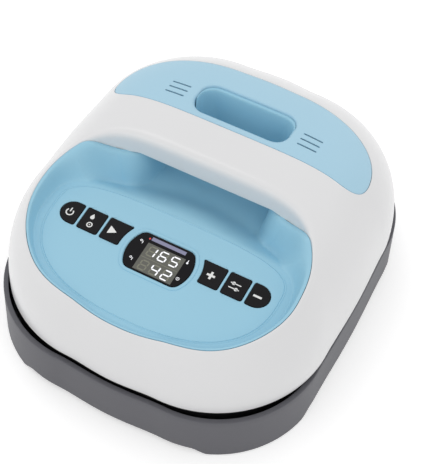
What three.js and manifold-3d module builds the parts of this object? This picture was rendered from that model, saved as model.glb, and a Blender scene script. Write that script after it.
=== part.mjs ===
// A handheld heat press for transfers on cloth: a white moulded shell with a bridge handle,
// a blue control scoop that runs on as a finger tunnel under the handle, a heated aluminium
// plate hung below, and the grey base tray that the hot press stands in.
// Millimetres, +Z up, +Y to the rear, origin on the ground under the middle of the tray.
import * as THREE from 'three';
import { mergeVertices } from 'three/addons/utils/BufferGeometryUtils.js';
import Module from 'manifold-3d';

const wasm = await Module();
wasm.setup();

const { lerp, smoothstep } = THREE.MathUtils;
const quarterTurn = Math.PI / 2;

// Clearances and the overrun of every cutting body
const fit = { seat: 0.3, slide: 0.35, overrun: 4 };

// Heated plate, which everything else is laid out around
const plate = { width: 254, depth: 305, thickness: 9, cornerRadius: 88, edgeChamfer: 1, restHeight: 14 };

// White shell: a flat-crowned dome over a round-cornered plan
const shell = {
  sideMargin: 23.5,
  endMargin: 18.5,
  cornerRadius: 106,
  sideBow: 1.7,
  endBow: 2.8,
  bottom: 57.5,
  crown: 108,
  rearDrop: 8.5,
  wall: 3,
};
const crownPower = 4.5;
const shoulderPower = 2.2;

// Scoop opening in the shell, and the bridge handle behind it
const scoop = { frontInset: 11, sideInset: 30, rearReach: 12, cornerBlend: 5, wall: 2.6 };
const scoopPower = 2.43;
const handle = { frontY: -6, rearY: 48, height: 24.5, lipRadius: 11, plateThickness: 2.6 };
const handleUndersideHeight = shell.bottom + shell.crown - handle.height;
const handlePlate = { sideInset: 23, cornerRadius: 12, screwInset: 10 };
const handlePlateHalfWidth = plate.width / 2 - handlePlate.sideInset;
const lip = { frontRadius: 3, collarDepth: 8, rimSink: 1.6, handleRun: 7 };

// Where the lip, the rim and the rear collar change over to the handle, along the scoop's side
const lipShares = { start: 0.2, end: 0.95 };
const rimShares = { start: 0.45, end: 0.8 };
const hatchCollarStartShare = 0.75;

// Rear opening that the fingers go down through
const hatch = { halfWidth: 46, depth: 36, cornerRadius: 14, lipRadius: 3 };

// Flat control platform in the scoop, a plane that rises a little to the rear
const platform = { frontInset: 12, sideInset: 13, rearInset: 38, height: 124.9, step: 0.7, stepRun: 1.4 };
const platformMiddleShare = 0.673;
const platformSlope = 0.08;
const platformFrontPower = 2.4;
const platformRearPower = 3.5;

// Blue scoop moulding round the platform
const panel = { thickness: 3.6, tunnelFloor: 108, wallRun: 12, rim: 2, dipRun: 46, shortRun: 20, longRun: 60 };
const tunnel = { rearInset: 2, wallRun: 24, sideRun: 50 };

// Where the rings of the moulding lie between the platform and the wall, and on the wall
const floorShares = [0.33, 0.67, 1];
const wallShares = [0.67, 0.33, 0];
const underFloorShares = [0.5, 1];
const underWallShare = 0.4;
const wallReachShare = 0.75;
const rimReachShare = 0.25;

// Display window, its ledge and the ring round it
const display = { radius: 30, halfHeight: 18.9, cornerRadius: 8, thickness: 2.2, proud: 0.2 };
const displayMiddleShare = 0.596;
const ring = { gap: 0.6, width: 1.6, height: 0.7, root: 1 };
const ledge = { width: 2 };

// Six push keys in a row, cut round the display ring
const keyRow = { rearShift: 6.7, depth: 22.4, innerReach: 37.4, gap: 2.2, endRadius: 12, cornerRadius: 1.2 };
const keyEnd = { inner: 56, middle: 78, outer: 98.5 };
const key = { proud: 0.4, travel: 0.5, flangeWidth: 1.1, flangeThickness: 1, stemRadius: 2, stemLength: 1.6 };
const tact = { width: 6, bodyHeight: 3.4, plungerRadius: 1.6, plungerHeight: 0.6 };

// Blue half-moon cover behind the handle
const cover = { frontGap: 0.5, cornerRadius: 18, thickness: 2.2, ledgeWidth: 3, ledgeThickness: 2.4 };
const coverReachShare = 0.79;
const vent = { length: 18.5, width: 1.8, pitch: 8, sideGap: 5.5, frontGap: 17 };
const ventCount = 3;

// Black lower housing between the shell and the plate
const lower = {
  bottom: 20,
  sideMargin: 17,
  endMargin: 16,
  cornerRadius: 97,
  wall: 2.6,
  floor: 3,
  deckTop: 47,
  deckThickness: 3,
  flangeInset: 1.2,
  spigotHeight: 4,
  plateGap: 0.8,
};

// Heater stack, from the plate upwards
const element = { radius: 3.2, sideInset: 43, endInset: 28.5 };
const elementPasses = 4;
const blanket = { thickness: 6, inset: 8, gap: 1.6 };
const shield = { thickness: 1, inset: 5 };
const post = {
  radius: 4.5,
  sideInset: 39,
  endInset: 34.5,
  boreRadius: 2.1,
  boreDepth: 12,
  headRadius: 3.6,
  headHeight: 2.2,
};
const cutout = { radius: 7.5, height: 6, shiftY: 18 };
const sensor = { radius: 2.6, height: 5, shiftY: -18, lugLength: 16, lugWidth: 8, lugThickness: 1.2 };

// Screws that join the two housings, and the bosses of the shell
const boss = { radius: 3.5, boreRadius: 1.5, boreDepth: 14 };
const housingScrew = { radius: 1.2, headRadius: 2.9, headHeight: 1.4, length: 14 };

// Main circuit board on the deck, and its parts, placed from its middle
const board = { width: 104, depth: 62, thickness: 1.6, endInset: 23.5, lift: 6, padRadius: 3.4, padInset: 6 };
const transformer = { width: 30, depth: 25, height: 23, shiftX: -30, shiftY: 6 };
const relay = { width: 19, depth: 15.5, height: 15.5, shiftX: 6, shiftY: 12 };
const capacitor = { radius: 6.5, height: 20, shiftX: 32, shiftY: 14 };
const fuse = { radius: 2.6, length: 20, shiftX: 30, shiftY: -6 };
const terminal = { width: 30, depth: 12, height: 11, shiftX: 0, shiftY: -20 };
const smallScrew = { radius: 1.2, headRadius: 2.6, headHeight: 1.6, length: 5 };

// Board under the control platform
const controls = { halfWidth: 97, front: -20, rear: 28, thickness: 1.6, bossRadius: 3.2, bossInset: 5.5 };
const ledModule = { width: 40, depth: 28 };
const lead = { radius: 1.3, spacing: 9 };

// Cord inlet at the rear
const gland = { radius: 8, boreRadius: 3.7, flangeRadius: 11.5, flangeThickness: 2.5, length: 16, height: 76 };

// Base tray
const tray = {
  endMargin: 4.5,
  rimHeight: 52.5,
  rimWidth: 4.4,
  rimChamfer: 0.8,
  cornerRadius: 97,
  draft: 2,
  floorThickness: 2.7,
  wall: 3.2,
  groundGap: 1,
  spanRise: 6.5,
  notchRun: 10,
  sideSpanInset: 89.5,
  endSpanInset: 70.5,
};
const foot = { radius: 9, thickness: 2.4, bossWall: 2.6, sideInset: 46.5, endInset: 51.5 };
const rest = { depth: 14, sideInset: 39, endInset: 34.5 };
const mat = { sideInset: 15, stripGap: 13, thickness: 2.5, cornerRadius: 20 };

// Facet counts
const facets = { corner: 8, side: 2 };
const cornerFacets = { corner: 4, side: 1 };
const domeRings = 8;
const crownRingShare = 0.99;
const scoopPoints = 44;
const tunnelSteps = 6;
const roundSides = 16;
const smallSides = 8;
const elementSides = 6;
const elementSteps = 48;
const searchSteps = 16;

// Sizes that follow from the ones above
const shellHalfWidth = plate.width / 2 + shell.sideMargin;
const shellHalfDepth = plate.depth / 2 + shell.endMargin;
const scoopFront = scoop.frontInset - shellHalfDepth;
const scoopRear = handle.frontY + scoop.rearReach;
const scoopCentreY = (scoopRear + scoopFront) / 2;
const scoopHalfDepth = (scoopRear - scoopFront) / 2;
const scoopHalfWidth = shellHalfWidth - scoop.sideInset;
const handleMiddleY = (handle.frontY + handle.rearY) / 2;
const hatchRear = handle.rearY + hatch.depth;
const platformFront = scoopFront + platform.frontInset;
const platformRear = handle.frontY - platform.rearInset;
const platformCentreY = lerp(platformFront, platformRear, platformMiddleShare);
const displayCentreY = lerp(platformFront, platformRear, displayMiddleShare);
const coverFront = handle.rearY + cover.frontGap;
const trayHalfWidth = shellHalfWidth;
const trayHalfDepth = shellHalfDepth + tray.endMargin;
const trayFloorBottom = tray.groundGap + tray.spanRise;
const trayFloorTop = trayFloorBottom + tray.floorThickness;
const plateTop = plate.restHeight + plate.thickness;
const elementHeight = plateTop + fit.seat + element.radius;
const elementPitch = (plate.width - 2 * element.sideInset) / (elementPasses - 1);
const restY = plate.depth / 2 - rest.endInset;
const boardCentreY = plate.depth / 2 - board.endInset - board.depth / 2;
const blanketBottom = elementHeight + element.radius + blanket.gap;
const shieldBottom = blanketBottom + blanket.thickness + fit.seat;
const deckBottom = lower.deckTop - lower.deckThickness;
const handleSeat = handleUndersideHeight + handle.plateThickness + fit.seat;
const platformTilt = Math.atan(platformSlope);
const skyHeight = shell.bottom + shell.crown + shell.rearDrop + fit.overrun;

// Heights in the platform's own frame, measured down from its face
const keyFlangeTop = -panel.thickness - fit.seat;
const keyFlangeBottom = keyFlangeTop - key.flangeThickness;
const keyStemBottom = keyFlangeBottom - key.stemLength;
const plungerTop = keyStemBottom - key.travel - fit.seat;
const tactBodyTop = plungerTop - tact.plungerHeight;
const controlsTop = tactBodyTop - tact.bodyHeight;
const controlsBottom = controlsTop - controls.thickness;

const paint = {
  white: { color: 0xe9e9ea, roughness: 0.25, metalness: 0 },
  blue: { color: 0xa3d2e6, roughness: 0.4, metalness: 0 },
  paleBlue: { color: 0xb2d8ec, roughness: 0.4, metalness: 0 },
  grey: { color: 0x6b6b70, roughness: 0.55, metalness: 0 },
  black: { color: 0x18181a, roughness: 0.5, metalness: 0 },
  glossBlack: { color: 0x141416, roughness: 0.15, metalness: 0 },
  keyBlack: { color: 0x222224, roughness: 0.45, metalness: 0 },
  rubber: { color: 0x2a2a2c, roughness: 0.85, metalness: 0 },
  silicone: { color: 0x8f8f8c, roughness: 0.7, metalness: 0 },
  aluminium: { color: 0xb9bbbd, roughness: 0.35, metalness: 1 },
  steel: { color: 0xa6a6a8, roughness: 0.3, metalness: 1 },
  fibre: { color: 0xd8d4c8, roughness: 0.95, metalness: 0 },
  circuitGreen: { color: 0x1f5a3a, roughness: 0.5, metalness: 0 },
  component: { color: 0x30343a, roughness: 0.5, metalness: 0 },
};

// Solids and booleans

function toSolid(geometry) {
  const bare = geometry.clone();
  bare.deleteAttribute('normal');
  bare.deleteAttribute('uv');
  const merged = mergeVertices(bare);
  const vertProperties = new Float32Array(merged.attributes.position.array);
  const triVerts = new Uint32Array(merged.index.array);
  return new wasm.Manifold(new wasm.Mesh({ numProp: 3, vertProperties, triVerts }));
}

function toGeometry(solid) {
  const mesh = solid.getMesh();
  const geometry = new THREE.BufferGeometry();
  geometry.setAttribute('position', new THREE.BufferAttribute(new Float32Array(mesh.vertProperties), 3));
  geometry.setIndex(new THREE.BufferAttribute(new Uint32Array(mesh.triVerts), 1));
  geometry.computeVertexNormals();
  return geometry;
}

function join(...solids) {
  return solids.flat().reduce((whole, piece) => whole.add(piece));
}

function cut(body, ...cutters) {
  return cutters.flat().reduce((left, cutter) => left.subtract(cutter), body);
}

// A closed body through rings of equal point count, its ends closed to their middles
function loft(rings) {
  const count = rings[0].length;
  const positions = rings.flat().flatMap((p) => [p.x, p.y, p.z]);
  const index = [];
  for (let r = 0; r + 1 < rings.length; r += 1) {
    for (let i = 0; i < count; i += 1) {
      const next = (i + 1) % count;
      const low = r * count;
      const high = low + count;
      index.push(low + i, low + next, high + next);
      index.push(low + i, high + next, high + i);
    }
  }
  const closeEnd = (points, base, facesDown) => {
    const middle = points.reduce((sum, p) => sum.add(p), new THREE.Vector3()).divideScalar(count);
    const apex = positions.length / 3;
    positions.push(middle.x, middle.y, middle.z);
    for (let i = 0; i < count; i += 1) {
      const next = (i + 1) % count;
      if (facesDown) index.push(base + next, base + i, apex);
      else index.push(base + i, base + next, apex);
    }
  };
  closeEnd(rings[0], 0, true);
  closeEnd(rings[rings.length - 1], (rings.length - 1) * count, false);
  const geometry = new THREE.BufferGeometry();
  geometry.setAttribute('position', new THREE.Float32BufferAttribute(positions, 3));
  geometry.setIndex(index);
  return geometry;
}

function level(outline, z) {
  return outline.map((p) => new THREE.Vector3(p.x, p.y, z));
}

// An upright body over a star-shaped outline
function prism(outline, bottom, top) {
  return toSolid(loft([level(outline, bottom), level(outline, top)]));
}

// An upright body over any outline
function slab(outline, bottom, top) {
  const geometry = new THREE.ExtrudeGeometry(new THREE.Shape(outline), {
    depth: top - bottom,
    bevelEnabled: false,
  });
  geometry.translate(0, 0, bottom);
  return toSolid(geometry);
}

function block(size, x, y, bottom) {
  const geometry = new THREE.BoxGeometry(size.width, size.depth, size.height);
  geometry.translate(x, y, bottom + size.height / 2);
  return toSolid(geometry);
}

function drum(radius, x, y, bottom, top, sides = roundSides) {
  const geometry = new THREE.CylinderGeometry(radius, radius, top - bottom, sides);
  geometry.rotateX(quarterTurn);
  geometry.translate(x, y, (top + bottom) / 2);
  return toSolid(geometry);
}

// A screw with its head below, standing up from a height
function screwUp(size, x, y, headBottom) {
  const headTop = headBottom + size.headHeight;
  return join(
    drum(size.headRadius, x, y, headBottom, headTop, smallSides),
    drum(size.radius, x, y, headTop - size.headHeight / 2, headTop + size.length, smallSides),
  );
}

// A screw with its head on top, hanging down from a height
function screwDown(size, x, y, headBottom) {
  return join(
    drum(size.headRadius, x, y, headBottom, headBottom + size.headHeight, smallSides),
    drum(size.radius, x, y, headBottom - size.length, headBottom + size.headHeight / 2, smallSides),
  );
}

function fourCorners(x, y) {
  return [[x, y], [-x, y], [-x, -y], [x, -y]];
}

// Outlines in plan, all counter-clockwise

// A rectangle with round corners, its sides bowed outwards between them
function roundedOutline(halfWidth, halfDepth, radius, sideBow = 0, endBow = 0, steps = facets) {
  const coreX = halfWidth - sideBow - radius;
  const coreY = halfDepth - endBow - radius;
  return [[1, 1], [-1, 1], [-1, -1], [1, -1]].flatMap(([sx, sy], quarter) => {
    const arc = Array.from({ length: steps.corner + 1 }, (_, i) => {
      const angle = (quarter + i / steps.corner) * quarterTurn;
      const x = sx * coreX + radius * Math.cos(angle);
      const y = sy * coreY + radius * Math.sin(angle);
      return new THREE.Vector2(x, y);
    });
    const onEnd = quarter % 2 === 0;
    const half = onEnd ? coreX : coreY;
    const reach = radius + (onEnd ? coreY : coreX);
    const bow = onEnd ? endBow : sideBow;
    const facing = (quarter + 1) * quarterTurn;
    const side = Array.from({ length: steps.side - 1 }, (_, i) => {
      const share = 1 - (2 * (i + 1)) / steps.side;
      const along = half * share;
      const out = reach + bow * (1 - share ** 2) ** 2;
      const x = out * Math.cos(facing) + along * Math.sin(facing);
      const y = out * Math.sin(facing) - along * Math.cos(facing);
      return new THREE.Vector2(x, y);
    });
    return [...arc, ...side];
  });
}

function signedPower(value, power) {
  return Math.sign(value) * Math.abs(value) ** power;
}

// A superellipse whose front and rear halves may differ
function ovalOutline(centreY, halfWidth, front, rear, frontPower, rearPower) {
  return Array.from({ length: scoopPoints }, (_, i) => {
    const angle = (i / scoopPoints) * 4 * quarterTurn;
    const atFront = Math.sin(angle) < 0;
    const power = 2 / (atFront ? frontPower : rearPower);
    const x = halfWidth * signedPower(Math.cos(angle), power);
    const y = centreY + (atFront ? front : rear) * signedPower(Math.sin(angle), power);
    return new THREE.Vector2(x, y);
  });
}

// The outline moved outwards by a distance, which may differ from point to point
function offsetOutline(outline, distance) {
  const count = outline.length;
  return outline.map((point, i) => {
    const before = outline[(i + count - 1) % count];
    const after = outline[(i + 1) % count];
    const tangent = after.clone().sub(before).normalize();
    const reach = typeof distance === 'function' ? distance(point) : distance;
    return new THREE.Vector2(point.x + tangent.y * reach, point.y - tangent.x * reach);
  });
}

// The outline with its sharp corners rounded off
function roundCorners(outline, radius, sharpTurn = quarterTurn / 2) {
  const count = outline.length;
  const steps = 3;
  return outline.flatMap((point, i) => {
    const before = outline[(i + count - 1) % count].clone().sub(point);
    const after = outline[(i + 1) % count].clone().sub(point);
    const turn = Math.PI - Math.acos(before.dot(after) / (before.length() * after.length()));
    if (turn < sharpTurn) return [point];
    const start = point.clone().addScaledVector(before.normalize(), radius);
    const end = point.clone().addScaledVector(after.normalize(), radius);
    const curve = new THREE.QuadraticBezierCurve(start, point, end);
    return curve.getPoints(steps);
  });
}

function softMinimum(a, b, blend) {
  const low = Math.min(a, b);
  const high = Math.max(a, b);
  return low - blend * Math.log1p(Math.exp((low - high) / blend));
}

// How far the ray from a middle point runs before it leaves a convex outline
function rayReach(outline, middle, direction) {
  for (let i = 0; i < outline.length; i += 1) {
    const a = outline[i].clone().sub(middle);
    const b = outline[(i + 1) % outline.length].clone().sub(middle);
    const cross = a.cross(b);
    const shareA = direction.cross(b) / cross;
    const shareB = a.cross(direction) / cross;
    if (shareA >= 0 && shareB >= 0) return 1 / (shareA + shareB);
  }
  return 0;
}

// Shell surface

function shellOutline(inset = 0) {
  const halfWidth = shellHalfWidth - inset;
  const halfDepth = shellHalfDepth - inset;
  return roundedOutline(halfWidth, halfDepth, shell.cornerRadius - inset, shell.sideBow, shell.endBow);
}

const shellPlan = shellOutline();
const planMiddle = new THREE.Vector2(0, 0);

function crownAt(y, inset = 0) {
  return shell.crown - inset - (shell.rearDrop * y) / shellHalfDepth;
}

function domeHeight(p) {
  const share = Math.min(1 / rayReach(shellPlan, planMiddle, new THREE.Vector2(p.x, p.y)), 1);
  return shell.bottom + crownAt(p.y) * (1 - share ** crownPower) ** (1 / shoulderPower);
}

// The dome, drawn in by an inset and run down below its lower edge by an overrun
function domeSolid(inset = 0, overrun = 0) {
  const outline = shellOutline(inset);
  const rings = overrun > 0 ? [level(outline, shell.bottom - overrun)] : [];
  for (let k = 0; k <= domeRings; k += 1) {
    const angle = Math.min(k / domeRings, crownRingShare) * quarterTurn;
    const share = Math.cos(angle) ** (2 / crownPower);
    const rise = Math.sin(angle) ** (2 / shoulderPower);
    rings.push(outline.map((p) => new THREE.Vector3(
      p.x * share,
      p.y * share,
      shell.bottom + crownAt(p.y * share, inset) * rise,
    )));
  }
  return toSolid(loft(rings));
}

// Scoop opening and rear opening

function scoopOutline() {
  return ovalOutline(scoopCentreY, scoopHalfWidth, scoopHalfDepth, scoopHalfDepth, scoopPower, scoopPower)
    .map((p) => new THREE.Vector2(p.x, softMinimum(p.y, handle.frontY, scoop.cornerBlend)));
}

function hatchOutline() {
  const halfDepth = hatch.depth / 2;
  return roundedOutline(hatch.halfWidth, halfDepth, hatch.cornerRadius, 0, 0, cornerFacets)
    .map((p) => new THREE.Vector2(p.x, p.y + handle.rearY + halfDepth));
}

// 0 along the front of the scoop, 1 along the handle
function scoopHandleShare(p, shares) {
  return smoothstep((p.y - scoopCentreY) / (handle.frontY - scoopCentreY), shares.start, shares.end);
}

// 1 along the handle, 0 from the end of the rear opening's front corners on
function hatchHandleShare(p, start = 0) {
  return 1 - smoothstep((p.y - handle.rearY) / hatch.cornerRadius, start, 1);
}

function scoopLip(p) {
  return lerp(lip.frontRadius, handle.lipRadius, scoopHandleShare(p, lipShares));
}

function hatchLip(p) {
  return lerp(hatch.lipRadius, handle.lipRadius, hatchHandleShare(p));
}

// A cutter that flares outwards near the shell's surface and so leaves a rounded lip
function flaredCutter(outline, lipRadius, bottom) {
  const depthShares = [1, 0.6, 0.3, 0.1, 0];
  const rings = [level(outline, bottom)];
  depthShares.forEach((share) => {
    const flare = (p) => lipRadius(p) * (1 - Math.sqrt(1 - (1 - share) ** 2));
    rings.push(offsetOutline(outline, flare).map((p, i) => {
      const depth = lipRadius(outline[i]) * share;
      return new THREE.Vector3(p.x, p.y, domeHeight(p) - depth);
    }));
  });
  rings.push(level(rings[rings.length - 1], skyHeight));
  return toSolid(loft(rings));
}

// The wall that hangs down from a lip, as a plug that the cutter then opens
function collarPlug(outline, wall, bottomAt) {
  const wide = offsetOutline(outline, wall);
  const footRing = (ring) => ring.map((p, i) => new THREE.Vector3(p.x, p.y, bottomAt(outline[i])));
  const inner = offsetOutline(outline, -wall);
  return toSolid(loft([footRing(inner), footRing(wide), level(wide, skyHeight)]));
}

// The collar comes down to the handle's underside, and over the handle's plate only to its top
function scoopCollarBottom(p) {
  const overPlate = handle.frontY - scoop.wall;
  const low = lerp(handleUndersideHeight, handleSeat, smoothstep(p.y, overPlate - lip.handleRun, overPlate));
  return lerp(domeHeight(p) - lip.collarDepth, low, scoopHandleShare(p, rimShares));
}

function hatchCollarBottom(p) {
  return lerp(domeHeight(p) - shell.wall, handleSeat, hatchHandleShare(p, hatchCollarStartShare));
}

function scoopCutter() {
  return flaredCutter(scoopOutline(), scoopLip, platform.height - lip.collarDepth * 2);
}

function hatchCutter() {
  return flaredCutter(hatchOutline(), hatchLip, handleUndersideHeight);
}

// Rear cover

function coverOutline() {
  const reach = shellPlan.map((p) => p.clone().multiplyScalar(coverReachShare));
  const cornerX = rayReach(reach, new THREE.Vector2(0, coverFront), new THREE.Vector2(1, 0));
  const right = new THREE.Vector2(cornerX, coverFront);
  const left = new THREE.Vector2(-cornerX, coverFront);
  const rear = reach.filter((p) => p.y > coverFront)
    .filter((p) => Math.min(p.distanceTo(right), p.distanceTo(left)) > cover.cornerRadius + fit.slide);
  return roundCorners([right, ...rear, left], cover.cornerRadius);
}

function ventCutters(margin, bottom) {
  const size = {
    width: vent.length + 2 * margin,
    depth: vent.width + 2 * margin,
    height: skyHeight - bottom,
  };
  const x = hatch.halfWidth + vent.sideGap + vent.length / 2;
  return Array.from({ length: ventCount }, (_, i) => handle.rearY + vent.frontGap + i * vent.pitch)
    .flatMap((y) => [block(size, x, y, bottom), block(size, -x, y, bottom)]);
}

const ventBottom = handleUndersideHeight - cover.thickness;

function rearCover() {
  const outline = slab(coverOutline(), shell.bottom, skyHeight);
  const skin = outline.intersect(domeSolid()).subtract(domeSolid(cover.thickness, fit.overrun));
  return cut(skin, hatchCutter(), ventCutters(0, ventBottom));
}

// Screw places on the joint between the housings

const moatMiddle = (lower.plateGap + lower.sideMargin) / 2;
const sideBossX = plate.width / 2 + moatMiddle;
const cornerReach = (plate.cornerRadius + moatMiddle) * Math.SQRT1_2;
const bossPlaces = [
  ...fourCorners(
    plate.width / 2 - plate.cornerRadius + cornerReach,
    plate.depth / 2 - plate.cornerRadius + cornerReach,
  ),
  [sideBossX, 0],
  [-sideBossX, 0],
];
const handleScrewX = handlePlateHalfWidth - handlePlate.screwInset;
const handleScrewPlaces = [handleScrewX, -handleScrewX].map((x) => [x, handleMiddleY]);

function upperHousing() {
  const outer = domeSolid();
  const coverPlan = coverOutline();
  const coverLedge = slab(offsetOutline(coverPlan, cover.ledgeWidth), shell.bottom, skyHeight)
    .intersect(domeSolid(cover.thickness))
    .subtract(domeSolid(cover.thickness + fit.seat + cover.ledgeThickness, fit.overrun));
  const coverRecess = slab(offsetOutline(coverPlan, fit.seat), handleUndersideHeight - fit.overrun, skyHeight)
    .subtract(domeSolid(cover.thickness + fit.seat));
  const collars = join(
    collarPlug(scoopOutline(), scoop.wall, scoopCollarBottom),
    collarPlug(hatchOutline(), scoop.wall, hatchCollarBottom),
  ).intersect(outer);
  const moatFloor = lower.bottom + lower.floor + fit.seat;
  const bosses = bossPlaces.map(([x, y]) => drum(boss.radius, x, y, shell.bottom, skyHeight, smallSides)
    .intersect(outer)
    .add(drum(boss.radius, x, y, moatFloor, shell.bottom + fit.overrun, smallSides)));
  const bossBores = bossPlaces.map(([x, y]) => (
    drum(boss.boreRadius, x, y, lower.bottom, moatFloor + boss.boreDepth, smallSides)));
  const handleBosses = handleScrewPlaces.map(([x, y]) => (
    drum(boss.radius, x, y, handleSeat, skyHeight, smallSides).intersect(outer)));
  const handleBores = handleScrewPlaces.map(([x, y]) => (
    drum(boss.boreRadius, x, y, handleUndersideHeight, handleSeat + smallScrew.length, smallSides)));
  const hollow = outer.subtract(domeSolid(shell.wall, fit.overrun));
  const skin = join(hollow, collars, coverLedge, bosses, handleBosses);
  const glandHole = glandDrum(
    gland.radius + fit.seat,
    shellHalfDepth - gland.length,
    shellHalfDepth + gland.length,
  );
  const ventHoles = ventCutters(fit.seat, ventBottom);
  return cut(skin, scoopCutter(), hatchCutter(), coverRecess, bossBores, handleBores, glandHole, ventHoles);
}

function handleUnderside() {
  const halfDepth = (handle.rearY - handle.frontY) / 2 - fit.seat;
  const corner = handlePlate.cornerRadius;
  const centred = roundedOutline(handlePlateHalfWidth, halfDepth, corner, 0, 0, cornerFacets);
  const outline = centred.map((p) => new THREE.Vector2(p.x, p.y + handleMiddleY));
  const top = handleUndersideHeight + handle.plateThickness;
  const holes = handleScrewPlaces.flatMap(([x, y]) => [
    drum(boss.boreRadius, x, y, handleUndersideHeight - fit.overrun, top + fit.overrun, smallSides),
    drum(
      smallScrew.headRadius + fit.seat,
      x,
      y,
      handleUndersideHeight - fit.overrun,
      handleUndersideHeight + smallScrew.headHeight + fit.seat,
      smallSides,
    ),
  ]);
  return cut(prism(outline, handleUndersideHeight, top), holes);
}

// Control panel: platform, scoop, finger tunnel and rear pocket in one moulding

function platformHeight(y) {
  return platform.height + platformSlope * (y - displayCentreY);
}

// Where the moulding's rim runs, with the height of the rim at each point. It follows the scoop's
// opening, turns in below the handle on a quarter oval each side, and goes round the rear opening.
function panelRim() {
  const front = offsetOutline(scoopOutline(), -fit.seat);
  const cameDown = (p) => scoopHandleShare(p, rimShares) === 1;
  const first = front.findIndex(cameDown);
  const last = front.findLastIndex(cameDown);
  const ceiling = handleUndersideHeight - fit.seat;
  const openRim = (p) => {
    const height = lerp(domeHeight(p) - lip.rimSink, ceiling, scoopHandleShare(p, rimShares));
    return new THREE.Vector3(p.x, p.y, height);
  };
  const hatchHalf = hatch.halfWidth - fit.seat;
  const side = (from) => Array.from({ length: tunnelSteps }, (_, i) => {
    const angle = ((i + 1) / tunnelSteps) * quarterTurn;
    const end = Math.sign(from.x) * hatchHalf;
    const x = lerp(end, from.x, Math.cos(angle));
    return new THREE.Vector3(x, lerp(from.y, handle.rearY - tunnel.rearInset, Math.sin(angle)), ceiling);
  });
  const straightStart = handle.rearY + hatch.cornerRadius;
  const hatchSink = cover.thickness + 2 * fit.seat;
  const pocket = offsetOutline(hatchOutline(), -fit.seat)
    .filter((p) => p.y > straightStart - fit.seat)
    .sort((a, b) => Math.atan2(a.y - handle.rearY, a.x) - Math.atan2(b.y - handle.rearY, b.x))
    .map((p) => new THREE.Vector3(p.x, p.y, domeHeight(p) - hatchSink));
  const footX = hatchHalf - fit.seat;
  const cornerFoot = (sign) => new THREE.Vector3(sign * footX, straightStart - hatch.lipRadius, ceiling);
  return [
    ...front.slice(0, first + 1).map(openRim),
    ...side(front[first]),
    cornerFoot(1),
    ...pocket,
    cornerFoot(-1),
    ...side(front[last]).reverse(),
    ...front.slice(last).map(openRim),
  ];
}

// Surface height at a distance from the platform's edge, on a ray that is so long in all
function scoopHeight(y, distance, length, rimHeight, wallRun, rim) {
  const stepped = platformHeight(y) - platform.step * smoothstep(distance, 0, platform.stepRun);
  const dipShare = smoothstep(length, panel.shortRun, panel.longRun);
  const sinkShare = dipShare * smoothstep(distance, platform.stepRun, panel.dipRun);
  const sunk = lerp(stepped, panel.tunnelFloor, sinkShare);
  const wallShare = 1 - smoothstep(length - distance, rim, wallRun);
  return lerp(sunk, rimHeight, wallShare);
}

function panelSurfaceRings(rim3, thickness) {
  const middle = new THREE.Vector2(0, platformCentreY);
  const edge = ovalOutline(
    platformCentreY,
    scoopHalfWidth - platform.sideInset,
    platformCentreY - platformFront,
    platformRear - platformCentreY,
    platformFrontPower,
    platformRearPower,
  );
  const spokes = rim3.map((p) => {
    const toRim = new THREE.Vector2(p.x, p.y).sub(middle);
    const direction = toRim.clone().normalize();
    const start = rayReach(edge, middle, direction);
    const length = toRim.length() - start;
    const sideShare = smoothstep(Math.abs(p.x) - hatch.halfWidth, 0, tunnel.sideRun);
    const wantedRun = lerp(panel.wallRun, tunnel.wallRun, sideShare);
    const wallRun = Math.min(wantedRun, (length - platform.stepRun) * wallReachShare);
    const rim = Math.min(panel.rim, wallRun * rimReachShare);
    return { direction, start, length, wallRun, rim, rimHeight: p.z };
  });
  const ringAt = (distanceOf, drop, shift) => spokes.map((s) => {
    const distance = distanceOf(s);
    const flat = middle.clone().addScaledVector(s.direction, s.start + distance);
    const seen = Math.min(distance - shift * s.rim, s.length);
    const height = scoopHeight(flat.y, Math.max(seen, 0), s.length, s.rimHeight, s.wallRun, s.rim);
    return new THREE.Vector3(flat.x, flat.y, height - drop);
  });
  const between = (share) => (s) => lerp(platform.stepRun, s.length - s.wallRun, share);
  const onWall = (share) => (s) => s.length - lerp(s.rim, s.wallRun, share);
  const topPlaces = [
    () => 0,
    () => platform.stepRun,
    ...floorShares.map(between),
    ...wallShares.map(onWall),
    (s) => s.length,
  ];
  const bottomPlaces = [() => 0, ...underFloorShares.map(between), onWall(underWallShare), (s) => s.length];
  return [
    ...bottomPlaces.map((place) => ringAt(place, thickness, 1)),
    ...topPlaces.reverse().map((place) => ringAt(place, 0, 0)),
  ];
}

// A body drawn in the platform's frame, moved to where the platform lies
const platformFrame = new THREE.Matrix4().makeRotationX(platformTilt)
  .setPosition(0, displayCentreY, platform.height);

function onPlatform(geometry) {
  return toSolid(geometry.applyMatrix4(platformFrame));
}

function platformPrism(outline, bottom, top) {
  return onPlatform(loft([level(outline, bottom), level(outline, top)]));
}

// A place on the platform, from its place in plan
function platformY(y) {
  return (y - displayCentreY) / Math.cos(platformTilt);
}

const displayY = platformY(displayCentreY);
const keyRowY = platformY(displayCentreY + keyRow.rearShift);

// Points along an arc, both ends included
function arcPoints(x, y, radius, from, to, steps) {
  return Array.from({ length: steps + 1 }, (_, i) => {
    const angle = lerp(from, to, i / steps);
    return new THREE.Vector2(x + radius * Math.cos(angle), y + radius * Math.sin(angle));
  });
}

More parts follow.
